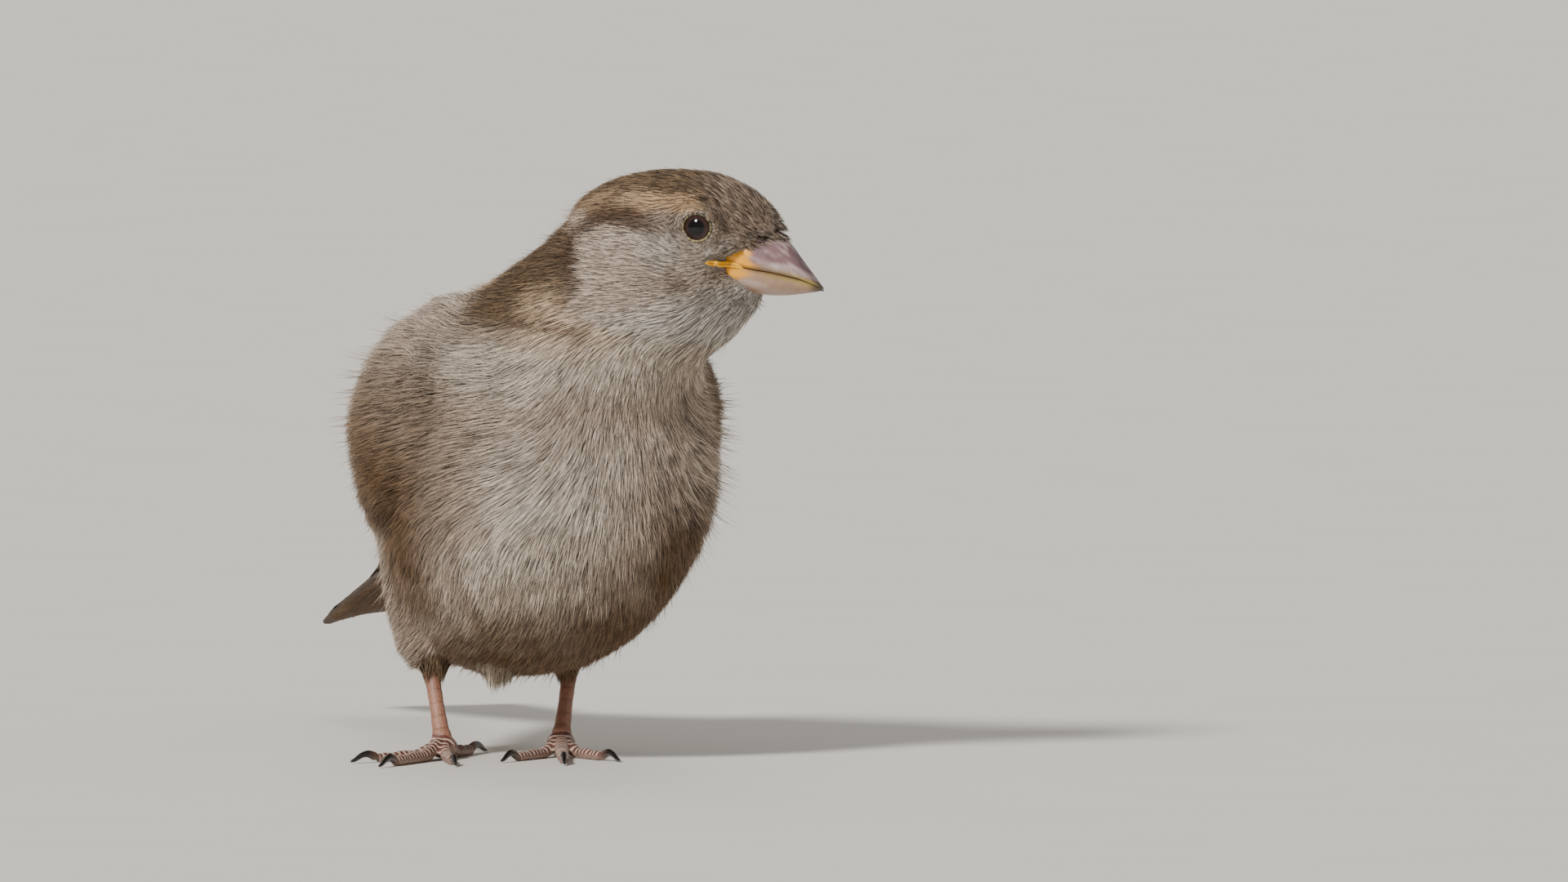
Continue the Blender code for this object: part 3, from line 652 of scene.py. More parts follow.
# brings the front of the forehead back out to the head's own shape, which the softening drew in
def fullForehead(places, ways):
    f, l, u = inHead(places).T
    amount = smooth(7.5, 10.0, f) * smooth(0.7, 1.3, u)
    for i in np.nonzero(amount > 0)[0]:
        p = Vector(places[i])
        hit, normal, _, _ = headTree.find_nearest(p)
        ahead = headTree.ray_cast(p, Vector(ways[i]) + headForward * 0.8 - up * 0.3, 0.0022)[0]
        if ahead and f[i] > 11.0 and u[i] < 4.0:
            hit = ahead
        places[i] = p.lerp(hit - normal * 0.05 * mm, amount[i])
    return places


# raises hollows of a surface to the level of what surrounds them
def hollowsFilled(mesh, places, ways, amount, rounds, most):
    ends = np.zeros(len(mesh.edges) * 2, np.int32)
    mesh.edges.foreach_get("vertices", ends)
    a, b = ends.reshape(-1, 2).T
    share = np.bincount(np.concatenate([a, b]), minlength=len(places))[:, None]
    level = places.copy()
    for _ in range(rounds):
        total = np.zeros_like(level)
        for k in range(3):
            total[:, k] = np.bincount(a, level[b, k], len(level)) + np.bincount(b, level[a, k], len(level))
        level = total / share
    rise = ((level - places) * ways).sum(axis=1).clip(0, most * mm)
    return places + ways * (rise * amount)[:, None]


def makeSkin():
    flesh = ("head", "neck", "trunk", "thigh_left", "thigh_right", "wing_left", "wing_right")
    skin = grownTogether("bodySkin", flesh, skinSet["puff"], skinSet["voxel"], skinSet["softening"])
    places, ways = pointsOf(skin.data), normalsOf(skin.data)
    places -= ways * ((coatDepth(places, onWing(places)) + skinSet["puff"]) * mm)[:, None]
    x, y, z = inBody(places).T
    f, _, u = inHead(places).T
    shoulder = smooth(4, 0, y) * smooth(8, 11, np.abs(x)) * smooth(32, 38, z)
    nape = smooth(-9, -12, f) * smooth(-24, -18, f) * smooth(-9, -5, u)
    places = hollowsFilled(skin.data, places, ways, np.maximum(shoulder, nape * 0.8), 60, 1.6)
    places = fullForehead(easedToBill(places), ways)
    for side, sign in bothSides:  # room for the lids
        out = np.array(headLeft) * sign
        _, high, far = fromEye(places, middleOf("eye_" + side), out)
        places -= out * (smooth(3.5, 3.0, far) * (high > -1) * 0.45 * mm)[:, None]
    skin.data.vertices.foreach_set("co", places.astype(np.float32).ravel())
    skin.data.update()
    # painted shade: the skin carries the markings darkened, for the shade in the gaps between the tufts
    paintPoints(skin.data, plumageAt(places, normalsOf(skin.data))[0] * skinSet["shade"])
    skin.data.materials.append(paintedFinish("featheredSkin", roughness=0.9, bump=0.4))
    return showPiece(skin, flesh, "breast_feathers")


skin = makeSkin()
print("skin:", len(skin.data.polygons), "faces")


# spreads the skin flat, so that each tuft can have its own place on the map
def unwrapSkin():
    bpy.context.view_layer.objects.active = skin
    skin.select_set(True)
    bpy.ops.object.mode_set(mode="EDIT")
    bpy.ops.mesh.select_all(action="SELECT")
    bpy.ops.uv.smart_project(angle_limit=math.radians(66), island_margin=0.004)
    bpy.ops.object.mode_set(mode="OBJECT")
    skin.select_set(False)
    skin.data.uv_layers.active.name = "OFBake"
    uv = np.zeros(len(skin.data.loops) * 2, np.float32)
    skin.data.uv_layers.active.data.foreach_get("uv", uv)
    return uv.reshape(-1, 2)


skinUv = unwrapSkin()
print("skin unwrapped")


# a CAD node's own shape, moved along its normals and rounded
def roundedNode(name, nodeName, amount, finish, levels=1):
    part = swollen(nodeName, amount)
    mesh = bpy.data.meshes.new(name)
    part.to_mesh(mesh)
    part.free()
    obj = modified(name, mesh, [("SUBSURF", {"levels": levels, "render_levels": levels})])
    obj.data.materials.append(finish)
    return obj


# the stiff cores of the primaries and the tail, under their feathers
coreSet = {
    "shrink": 0.22, "dark": colour(74, 60, 48),
    "slots": {
        "primaries_left": "primary_feathers",
        "primaries_right": "primary_feathers",
        "tail": "tail_feathers",
    },
}
coreFinish = paintedFinish("quillCoreBrown", roughness=0.85, bump=0.3)
cores = {}
for nodeName, slot in coreSet["slots"].items():
    core = roundedNode(nodeName + "_core", nodeName, -coreSet["shrink"], coreFinish)
    paintPoints(core.data, np.tile(coreSet["dark"], (len(core.data.vertices), 1)))
    cores[nodeName] = showPiece(core, (nodeName,), slot)
skinTree = treeOf([skin])
wholeTree = treeOf([skin, *cores.values()])
print("quill cores made")


# eyes

eyeSet = {
    "open": 1.56, "pupil": 1.02,  # radii of the lids' opening and of the pupil
    "black": colour(8, 7, 8), "iris": colour(50, 31, 27), "rim": colour(18, 12, 10),
    "lid": colour(142, 126, 84), "lidDark": colour(40, 30, 24),
    # outwards from the eye's middle, and how high over the lid's own slope
    "lidProfile": (
        (1.42, -0.34), (1.50, -0.10), (1.56, 0.10), (1.66, 0.19), (1.78, 0.17), (1.88, 0.04), (1.98, 0.10),
        (2.10, 0.16), (2.24, 0.08), (2.4, 0.02), (2.7, 0.0), (3.1, 0.0), (3.5, -0.05),
    ),
}


def makeEye(side, sign):
    node = "eye_" + side
    low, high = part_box(node)
    centre, radius = (low + high) / 2, (high.z - low.z) / 2
    out = headLeft * sign
    bm = bmesh.new()
    bmesh.ops.create_uvsphere(bm, u_segments=64, v_segments=48, radius=radius)
    turn = out.to_track_quat("Z", "Y").to_matrix().to_4x4()
    bmesh.ops.transform(bm, matrix=Matrix.Translation(centre) @ turn, verts=bm.verts)
    mesh = bpy.data.meshes.new("eyeball_" + side)
    bm.to_mesh(mesh)
    bm.free()
    shadeSoftly(mesh)
    flat, _, off = fromEye(pointsOf(mesh), centre, out)
    ring = smooth(eyeSet["pupil"] - 0.08, eyeSet["pupil"] + 0.08, off)
    tint = blend(np.broadcast_to(eyeSet["black"], flat.shape), eyeSet["iris"], ring)
    tint = blend(tint, eyeSet["rim"], smooth(1.40, 1.55, off))
    paintPoints(mesh, tint)
    mesh.materials.append(eyeGloss)
    showPiece(bpy.data.objects.new("eyeball_" + side, mesh), (node,), "eye_gloss")
    return centre, radius / mm, out


# the lid: a beaded inner rim and a soft cone that runs out into the face
def makeLid(side, centre, radius, out):
    ring = 120
    profile = eyeSet["lidProfile"]
    verts, tints = [], []
    rimHeight = math.sqrt(radius**2 - eyeSet["open"] ** 2)
    for i in range(ring):
        a = 2 * math.pi * i / ring
        way = headForward * math.cos(a) + up * math.sin(a)
        start = centre + (way * 3.5 + out * 6) * mm
        hit = skinTree.ray_cast(start, -out, 0.012)[0]
        skinHeight = (hit - centre).dot(out) / mm if hit else 1.3
        for reach, rise in profile:
            t = float(smooth(1.9, 3.4, reach))
            shift = 1.6 if reach > 1.9 else 0
            wave = math.sin(a * 23 + 2.2 * math.sin(a * 5) + shift) + 0.6 * math.sin(a * 11 + 1)
            beads = wave * (0.035 if 1.5 < reach < 2.3 else 0)
            high = fade(rimHeight + 0.02 - 0.25 * max(reach - 1.6, 0), skinHeight, t) + rise + beads
            verts.append(centre + (way * reach * (1 + 0.03 * math.cos(2 * a)) + out * high) * mm)
            # painted highlight: each bead is lighter on its top; the ring is also darker towards its top.
            # Painted shade: the outer cone, under the feathers, is darkened like the skin
            tone = eyeSet["lid"] * max(0.62 + 9 * beads - 0.42 * math.sin(a + 0.4), 0.15)
            if 1.84 < reach < 1.95 or reach < 1.52:
                tone = eyeSet["lidDark"]
            elif reach > 2.2:
                tone = marks["cheek"] * 0.5
            elif reach > 1.95:
                lit = float(smooth(-0.3, 0.9, 0.7 * math.sin(a) - 0.6 * math.cos(a)))
                tone = blend(marks["cheek"] * 0.55, marks["whitish"], lit) * (0.6 + 8 * beads)
            tints.append(tone)
    cols = len(profile)
    grid = np.arange(ring * cols).reshape(ring, cols)
    nxt = np.roll(grid, -1, axis=0)
    quads = np.stack([grid[:, :-1], nxt[:, :-1], nxt[:, 1:], grid[:, 1:]], axis=-1).reshape(-1, 4)
    if (out - headLeft).length > 1:
        quads = quads[:, ::-1]
    lid = meshFrom("eyelid_" + side, np.array(verts), [quads], np.array(tints))
    lid.materials.append(lidFinish)
    return showPiece(bpy.data.objects.new("eyelid_" + side, lid), slot="head_feathers")


# the soft yellow fold at the corner of the mouth
gapeSet = {
    # forward, up, half height, thickness
    "path": (
        (5.1, -2.25, 0.08, 0.10), (5.5, -2.3, 0.30, 0.34), (6.0, -2.4, 0.40, 0.40), (6.6, -2.5, 0.34, 0.36),
        (7.2, -2.55, 0.42, 0.34), (8.2, -2.75, 0.30, 0.16), (8.9, -3.0, 0.06, 0.04),
    ),
    "colour": colour(252, 180, 16), "creaseShade": colour(176, 104, 14),
}
gapeTree = treeOf([skin, *bill])


def makeGape(side, sign):
    rows = curveRows(gapeSet["path"], 30)
    around = np.linspace(0, 2 * math.pi, 18, endpoint=False)
    verts, tints, heights = [], [], []
    for f, u, tall, thick in rows:
        found = [4.0]
        for step in (-0.6, 0, 0.6):
            hit = gapeTree.ray_cast(fromHead(f, sign * 10, u + step * tall), -headLeft * sign, 0.02)[0]
            if hit:
                found.append(float(inHead([hit])[0, 1]) * sign)
        heights.append(max(found))
    for _ in range(4):
        heights = np.convolve(np.pad(heights, 1, mode="edge"), (0.25, 0.5, 0.25), mode="valid")
    for (f, u, tall, thick), reach in zip(rows, heights):
        middle = np.array([f, sign * (reach - 0.02), u])
        pinch = 1 - 0.35 * np.exp(-((np.sin(around) / 0.28) ** 2)) * (np.cos(around) > 0)
        out = sign * thick * np.cos(around) * pinch
        ring = middle + np.stack([0 * around, out, tall * np.sin(around)], axis=1)
        verts.append(ring)
        # painted shade in the creases along the fold
        creaseShade = np.exp(-((np.sin(around) / 0.16) ** 2)) * 0.75
        tints.append(blend(np.broadcast_to(gapeSet["colour"], (len(around), 3)), gapeSet["creaseShade"], creaseShade))
    return ringPiece("gape_" + side, np.array(verts), np.array(tints), gapeFinish)


gapeFinish = paintedFinish("gapeSkin", grain=1500.0, low=0.85, high=1.12, bump=0.3,
                           roughness=0.42, subsurface=0.1)
for side, sign in bothSides:
    makeGape(side, sign)

eyeGloss = paintedFinish("eyeGloss", grain=2200.0, low=0.7, high=1.3, roughness=0.035, specular=0.4)
lidFinish = paintedFinish("lidSkin", grain=5000.0, bump=0.5, bumpScale=6000.0, roughness=0.45)
eyes = {side: makeEye(side, sign) for side, sign in bothSides}
lids = {side: makeLid(side, *eyes[side]) for side in eyes}
print("eyes made")


# the coat: tufts of fine barbs that lie along the body

coatSet = {
    "seed": 11,
    "candidates": 260000, "lidCandidates": 1800,
    "lidSpacing": 0.28,
    "barbs": 16,  # fine strips in each tuft
    "headBarbs": 9,
    # painted shade in the dark lines between the locks of each tuft
    "lineGap": 0.48, "lockGapShade": 0.68,  # the dark lines between locks, and how dark they are
    "loose": 0.035,  # share of barbs that stand away
    "pieceStrips": 39000,  # strips in each coat piece
    # by distance from the bill: spacing, length, half width, barb width, lift
    "sizes": (
        (2.0, 0.34, 1.0, 0.20, 0.045, 0.20),
        (7.0, 0.42, 1.6, 0.29, 0.055, 0.26),
        (14.0, 0.49, 2.2, 0.44, 0.056, 0.34),
        (24.0, 0.60, 3.8, 0.68, 0.060, 0.55),
        (36.0, 0.72, 5.2, 0.88, 0.068, 0.85),
    ),
}


def billDistance(points):
    f, l, u = inHead(points).T
    return np.sqrt((f - 11.5) ** 2 + l**2 * 0.8 + (u + 3.2) ** 2)


def tuftSizes(points):
    table = np.array(coatSet["sizes"])
    far = billDistance(points)
    spacing, length, half, barb, lift = (np.interp(far, table[:, 0], table[:, k]) for k in range(1, 6))
    f, l, u = inHead(points).T
    shaggy = smooth(-5.5, -8.5, u) * smooth(-2, 3, f)  # the throat is longer and looser
    growth = (0, 0.9, 0.2, 0.25, 1.0)
    sizes = (spacing * (1 + 0.25 * shaggy), length, half, barb, lift)
    return [size * (1 + more * shaggy) for size, more in zip(sizes, growth)]


# which way the plumage lies
def flowAt(points, normals):
    f, l, u = inHead(points).T
    x, _, z = inBody(points).T
    forward, left = np.array(headForward), np.array(headLeft)
    fromFace = (f - 12.5)[:, None] * forward + (l * 0.9)[:, None] * left + (u + 2.2)[:, None] * np.array(up)
    onHead = unit(fromFace) - forward * 0.5
    high = smooth(26, 38, z)
    aside = smooth(4, 16, np.abs(x - 3)) * high
    spread = np.stack([(x - 4) * 0.034 * high, 0.50 + 0.95 * aside, -0.85 + 0.40 * aside], axis=1)
    spread[:, 1] += smooth(0.3, 0.9, normals[:, 2]) * 0.7
    spread[:, 2] += smooth(26, 12, z) * 0.55
    spread[:, 1] += smooth(26, 12, z) * 0.5
    headward = smooth(-17, -8, u + 0.15 * f) * smooth(-20, -10, f)
    way = blend(unit(spread), unit(onHead), np.clip(headward, 0, 1))
    for centre, _, out in eyes.values():  # the feathers part round each eye
        flat, high, far = fromEye(points, centre, out)
        away = flat / np.maximum(far, 0.3)[:, None]
        push = np.clip((2.7 / np.maximum(far, 2.3)) ** 2, 0, 1.3) * (far < 8) * (high > -2)
        way = way - push[:, None] * (2 * (way * away).sum(axis=1)[:, None] * away - way)
    swirl = np.stack([ripple(points / mm, 14, s) for s in (21, 22, 23)], axis=1)
    way = unit(way) + swirl * 0.10
    way -= normals * (way * normals).sum(axis=1)[:, None]
    return unit(way)


# random places over a mesh, with their normals and map places
def scatter(mesh, uv, count, rng):
    mesh.calc_loop_triangles()
    tris = np.zeros(len(mesh.loop_triangles) * 3, np.int32)
    loops = np.zeros(len(mesh.loop_triangles) * 3, np.int32)
    mesh.loop_triangles.foreach_get("vertices", tris)
    mesh.loop_triangles.foreach_get("loops", loops)
    tris, loops = tris.reshape(-1, 3), loops.reshape(-1, 3)
    places, ways = pointsOf(mesh), normalsOf(mesh)
    a, b, c = (places[tris[:, i]] for i in range(3))
    area = np.linalg.norm(np.cross(b - a, c - a), axis=1)
    pick = rng.choice(len(tris), count, p=area / area.sum())
    s, t = rng.random(count), rng.random(count)
    flip = s + t > 1
    s[flip], t[flip] = 1 - s[flip], 1 - t[flip]
    w = np.stack([1 - s - t, s, t], axis=1)[:, :, None]
    point = (places[tris[pick]] * w).sum(axis=1)
    normal = unit((ways[tris[pick]] * w).sum(axis=1))
    spot = (uv[loops[pick]] * w).sum(axis=1) if uv is not None else np.zeros((count, 2))
    return point, normal, spot


# indices of points that keep their spacing from each other
def thinned(points, spacing):
    cell = spacing.max()
    grid, kept = {}, []
    keys = np.floor(points / (cell * mm)).astype(int)
    scaled = points / mm
    around = [(dx, dy, dz) for dx in (-1, 0, 1) for dy in (-1, 0, 1) for dz in (-1, 0, 1)]

    def crowded(i, key):
        for dx, dy, dz in around:
            for j in grid.get((key[0] + dx, key[1] + dy, key[2] + dz), ()):
                gap = scaled[i] - scaled[j]
                if gap @ gap < spacing[i] * spacing[i]:
                    return True
        return False

    for i in range(len(points)):
        key = tuple(keys[i])
        if not crowded(i, key):
            grid.setdefault(key, []).append(i)
            kept.append(i)
    return np.array(kept)


# paths that start at a place, head one way and keep to the surface
def draped(tree, starts, ways, lengths, steps):
    paths = np.zeros((len(starts), steps, 3))
    normals = np.zeros((len(starts), steps, 3))
    for i in range(len(starts)):
        place, way = Vector(starts[i]), Vector(ways[i])
        stride = lengths[i] * mm / (steps - 1)
        hit = tree.find_nearest(place)
        for s in range(steps):
            near, normal = hit[0], hit[1]
            paths[i, s] = near
            normals[i, s] = normal
            along = way - normal * way.dot(normal)
            if along.length > 1e-6:
                along.normalize()
            way = (way * 0.6 + along * 0.4).normalized()
            hit = tree.find_nearest(near + along * stride + normal * 0.0002)
    return paths, normals


# fine tapered strips fanned over each path: points, colours and map places
def barbStrips(paths, normals, halfWidth, barbWidth, lift, tint, streak, dark, spots, barbs, rng):
    count, steps = paths.shape[:2]
    tangents = unit(np.gradient(paths, axis=1))
    normals = unit(normals)
    across = np.linspace(-1, 1, barbs)[None, :] + rng.normal(0, 0.09, (count, barbs))
    reach = 1 - 0.30 * np.abs(across) ** 2 - rng.random((count, barbs)) * 0.22
    twist = rng.normal(0, 0.45, (count, barbs))
    high = rng.random((count, barbs)) * 0.22 - 0.10 * np.abs(across)
    stray = rng.normal(0, 0.10, (count, barbs))
    shade = 1 + rng.normal(0, 0.10, (count, barbs))
    # painted shade in the dark lines between the locks, and painted light on the locks between them
    line = np.cos(6.283 * (across * halfWidth[:, None] / coatSet["lineGap"] + rng.random((count, 1))))
    shade = shade * (1.08 - coatSet["lockGapShade"] * smooth(0.25, 0.75, line) + 0.12 * smooth(0.2, -0.8, line))
    loose = np.where(rng.random((count, barbs)) < coatSet["loose"], rng.uniform(0.5, 1.8, (count, barbs)), 0)
    stations = (0.0, 0.34, 0.70, 1.0)
    widths = (0.8, 1.0, 0.75, 0.0)
    points, colours, maps = [], [], []
    rows = np.arange(count)[:, None]
    for k, (station, width) in enumerate(zip(stations, widths)):
        at = station * reach * (steps - 1)
        i = np.minimum(at.astype(int), steps - 2)
        t = (at - i)[..., None]
        centre = paths[rows, i] * (1 - t) + paths[rows, i + 1] * t
        normal = unit(normals[rows, i] * (1 - t) + normals[rows, i + 1] * t)
        tangent = unit(tangents[rows, i] * (1 - t) + tangents[rows, i + 1] * t)
        side = np.cross(normal, tangent)
        spread = across * (0.40 + 0.72 * math.sin(min(station * 1.25, 1) * math.pi / 2)) + stray * station
        rise = -0.06 + (lift[:, None] * station**0.8) * (1 + high + loose * station) + high * 0.5 * station
        aside = side * (spread * halfWidth[:, None] * mm)[..., None]
        centre = centre + aside + normal * (rise * mm)[..., None]
        flat = side * np.cos(twist)[..., None] + normal * np.sin(twist)[..., None]
        half = (barbWidth[:, None] * width * 0.5 * mm)[..., None]
        # painted shade and light: each barb is darkest at its root, deep under the tufts over it, and
        # lightest at its tip
        glow = (0.30, 0.64, 1.02, 1.25)[k] * shade
        heart = np.exp(-((across / 0.42) ** 2)) * streak[:, None]
        hue = blend(tint[:, None, :], dark[:, None, :], np.clip(heart, 0, 1)) * glow[..., None]
        step = np.stack([across * 0.0013, np.full_like(across, (station - 0.5) * 0.0026)], axis=-1)
        spot = spots[:, None, :] + step
        if k < 3:
            points += [centre - flat * half, centre + flat * half]
            colours += [hue, hue]
            maps += [spot - [0.0001, 0], spot + [0.0001, 0]]
        else:
            points.append(centre)
            colours.append(hue)
            maps.append(spot)
    shape = (count * barbs, 7)
    return (
        np.stack(points, axis=2).reshape(*shape, 3),
        np.stack(colours, axis=2).reshape(*shape, 3),
        np.stack(maps, axis=2).reshape(*shape, 2),
    )


# strips of one size all along, with no dark middles
def plainStrips(paths, normals, sizes, tints, barbs, rng):
    count = len(paths)
    traits = [np.full(count, size) for size in sizes]
    spots = skinSpots(paths[:, 0])
    return barbStrips(paths, normals, *traits, tints, np.zeros(count), tints, spots, barbs, rng)


# the faces of strips that have seven points each
def stripFaces(count, start=0):
    base = (start + np.arange(count) * 7)[:, None]
    return np.concatenate([base + [[0, 1, 3, 2]], base + [[2, 3, 5, 4]]]), base + [[4, 5, 6]]


def coatPiece(name, points, colours, maps, finish, slot):
    faces = stripFaces(len(points))
    mesh = meshFrom(name, points.reshape(-1, 3), faces, colours.reshape(-1, 3))
    mapOn(mesh, maps.reshape(-1, 2), faces)
    mesh.materials.append(finish)
    return showPiece(bpy.data.objects.new(name, mesh), slot=slot)


# true where something of the body lies close over the skin
def covered(points, normals):
    hidden = np.zeros(len(points), bool)
    for i, (p, n) in enumerate(zip(points, normals)):
        n = Vector(n)
        hidden[i] = wholeTree.ray_cast(Vector(p) + n * 0.0002, n, 0.003)[0] is not None
    return hidden


def eyeDistance(points):
    best = np.full(len(points), 1e9)
    for centre, _, out in eyes.values():
        _, high, far = fromEye(points, centre, out)
        best = np.minimum(best, np.where(high > -2, far, 1e9))
    return best


# map places for roots that aren't on the skin: those of the skin nearest to them
def skinSpots(points):
    spots = np.zeros((len(points), 2))
    for i, p in enumerate(points):
        face = skinTree.find_nearest(Vector(p))[2]
        spots[i] = skinUv[list(skin.data.polygons[face].loop_indices)].mean(axis=0)
    return spots


# lifts paths onto the vanes where these lie over the skin
def raised(tree, paths, normals):
    for i in range(len(paths)):
        for s in range(1, paths.shape[1]):
            place, normal = Vector(paths[i, s]), Vector(normals[i, s])
            hit = tree.ray_cast(place + normal * 0.0024, -normal, 0.0024)
            if hit[0]:
                paths[i, s] = hit[0]


# where the tufts grow: over the skin and the lids, not under the vanes or past the feather line
def coatRoots(rng):
    points, normals, spots = scatter(skin.data, skinUv, coatSet["candidates"], rng)
    lidPoints, lidNormals = [], []
    for lid in lids.values():
        p, n, _ = scatter(lid.data, None, coatSet["lidCandidates"], rng)
        ok = eyeDistance(p) > 2.08
        lidPoints.append(p[ok])
        lidNormals.append(n[ok])
    lidPoints, lidNormals = np.concatenate(lidPoints), np.concatenate(lidNormals)
    chin = smooth(-3.4, -4.4, inHead(points)[:, 2])
    clear = (eyeDistance(points) > 3.2) & (pastFeathers(points) < 0.4 + 0.8 * chin)
    points, normals, spots = points[clear], normals[clear], spots[clear]
    keep = thinned(points, tuftSizes(points)[0])
    points, normals, spots = points[keep], normals[keep], spots[keep]
    x, y, z = inBody(points).T
    mantle = (normals[:, 2] > 0.5) & (y > -12) & (y < 24) & (np.abs(x) < 11)
    front = np.interp(z, [28, 40, 50, 57], [6.0, 4.0, 2.5, 0.0]) + rng.normal(0, 0.9, len(z))
    bare = ((onWing(points) > 0.5) & (y > front)) | mantle | covered(points, normals)
    points, normals, spots = points[~bare], normals[~bare], spots[~bare]
    keep = thinned(lidPoints, np.full(len(lidPoints), coatSet["lidSpacing"]))
    points = np.concatenate([points, lidPoints[keep]])
    normals = np.concatenate([normals, lidNormals[keep]])
    return points, normals, np.concatenate([spots, skinSpots(lidPoints[keep])])


# the webs of all the vanes, as one surface
def vaneTree():
    verts, faces = [], []
    for sheetVerts, sheetFaces in vaneSheets:
        faces += [tuple(f) for f in sheetFaces + len(verts)]
        verts += [Vector(v) for v in sheetVerts]
    return BVHTree.FromPolygons(verts, faces)


# true for paths that stay off the eyes, the bill and the fold at the corner of the mouth
def staysClear(paths):
    flat = paths.reshape(-1, 3)
    f, l, u = inHead(flat).T
    past = pastFeathers(flat) - 0.9 * smooth(-3.4, -4.4, u)
    fold = pathDistance(f, u, [row[:2] for row in gapeSet["path"][1:]]) + 9 * (np.abs(l) < 2)
    eye, past, fold = (reach.reshape(-1, 5) for reach in (eyeDistance(flat), past, fold))
    return (eye.min(axis=1) > 1.82) & (past.max(axis=1) < 0.7) & (fold.min(axis=1) > 0.5)


# how much more the tufts stand out in the hollow of the nape and down each side of the breast
def fullness(points):
    f, _, u = inHead(points).T
    x, _, z = inBody(points).T
    hollow = smooth(-10.0, -12.5, f) * smooth(-18, -15, f) * smooth(-4.0, -0.5, u) * smooth(6, 3, u)
    left = smooth(9, 14, x) * smooth(19, 33, z) * smooth(50, 43, z)
    right = smooth(-12, -16, x) * smooth(34, 42, z) * smooth(56, 50, z)
    return (1 + 0.7 * hollow) * (1 + 1.3 * left) * (1 + 1.3 * right)


# colours and streaks of the tufts, with more spread where the face and throat are ragged
def tuftTints(points, normals, rng):
    tint, streak = plumageAt(points, normals)
    f, _, u = inHead(points).T
    ragged = smooth(-5.0, -8.0, u) * smooth(-4, 1, f) + smooth(3.0, 7.0, f) * smooth(-2.0, 0.5, u)
    spread = rng.normal(0, 1, len(tint)) * (0.10 + 0.14 * np.clip(ragged, 0, 1))
    tint = tint * (1 + spread)[:, None].clip(0.35, 1.5)
    strong = rng.random(len(streak)) < 0.62
    share = np.where(strong, rng.uniform(0.85, 1.1, len(streak)), rng.uniform(0.1, 0.4, len(streak)))
    return tint, streak * share


def makeCoat():
    rng = np.random.default_rng(coatSet["seed"])
    points, normals, spots = coatRoots(rng)
    ways = flowAt(points, normals)
    ways = unit(ways + rng.normal(0, 0.07, ways.shape))
    _, lengths, halves, barbs, lifts = tuftSizes(points)
    lengths = lengths * rng.uniform(0.82, 1.18, len(lengths))
    lengths = lengths * (0.60 + 0.40 * smooth(2.2, 4.2, eyeDistance(points)))
    tree = treeOf([skin, *lids.values(), *cores.values()])
    paths, pathNormals = draped(tree, points, ways, lengths, 5)
    raised(vaneTree(), paths, pathNormals)
    ok = staysClear(paths)
    paths, pathNormals, spots = paths[ok], pathNormals[ok], spots[ok]
    halves, barbs, lifts = halves[ok], barbs[ok], lifts[ok]
    middle = paths[:, 3]
    tint, streak = tuftTints(middle, pathNormals[:, 3], rng)
    lifts = lifts * rng.uniform(0.8, 1.2, len(lifts)) * fullness(middle)
    traits = (paths, pathNormals, halves, barbs, lifts, tint, streak, streakColour(middle), spots)
    near = billDistance(middle) < 17
    strips = []
    for chosen, count in ((near, coatSet["headBarbs"]), (~near, coatSet["barbs"])):
        strips.append(barbStrips(*(trait[chosen] for trait in traits), count, rng))
    strips = [np.concatenate(pair) for pair in zip(*strips)]
    order = np.argsort(inBody(strips[0][:, 0])[:, 2], kind="stable")
    total = len(order)
    pieces = math.ceil(total / coatSet["pieceStrips"])
    for i in range(pieces):
        chosen = order[i * total // pieces : (i + 1) * total // pieces]
        slot = "head_feathers" if i >= pieces - 2 else "breast_feathers"
        coatPiece(f"coat_{i + 1}", *(a[chosen] for a in strips), coatFinish, slot)
    print("coat:", len(paths), "tufts,", total * 5, "triangles in", pieces, "pieces")


# bristles over the nostrils, at the corner of the mouth and under the chin
bristleSet = {
    # how many on each side; forward and up of the roots, each low and high; way; length; tones
    "ridge": (230, (10.6, 13.0), (-1.5, 1.5), (0.80, 0.0, -0.45), (0.8, 1.7),
        (colour(66, 54, 46), colour(172, 154, 134))),
    "nasal": (210, (9.0, 12.6), (-0.5, 1.5), (0.80, 0.0, -0.40), (1.0, 2.2),
        (colour(58, 47, 40), colour(160, 142, 122))),
    "corner": (60, (3.6, 6.4), (-6.0, -3.3), (-0.55, 0.0, -0.55), (0.6, 1.2),
        (colour(90, 76, 64), colour(206, 196, 182))),
    "lore": (70, (6.0, 8.4), (-1.6, 0.4), (0.70, 0.0, -0.30), (0.6, 1.3),
        (colour(60, 48, 40), colour(132, 116, 100))),
    "chin": (44, (6.5, 10.4), (-8.2, -6.4), (0.72, 0.0, -0.62), (0.9, 2.3),
        (colour(52, 44, 40), colour(170, 160, 150))),
}


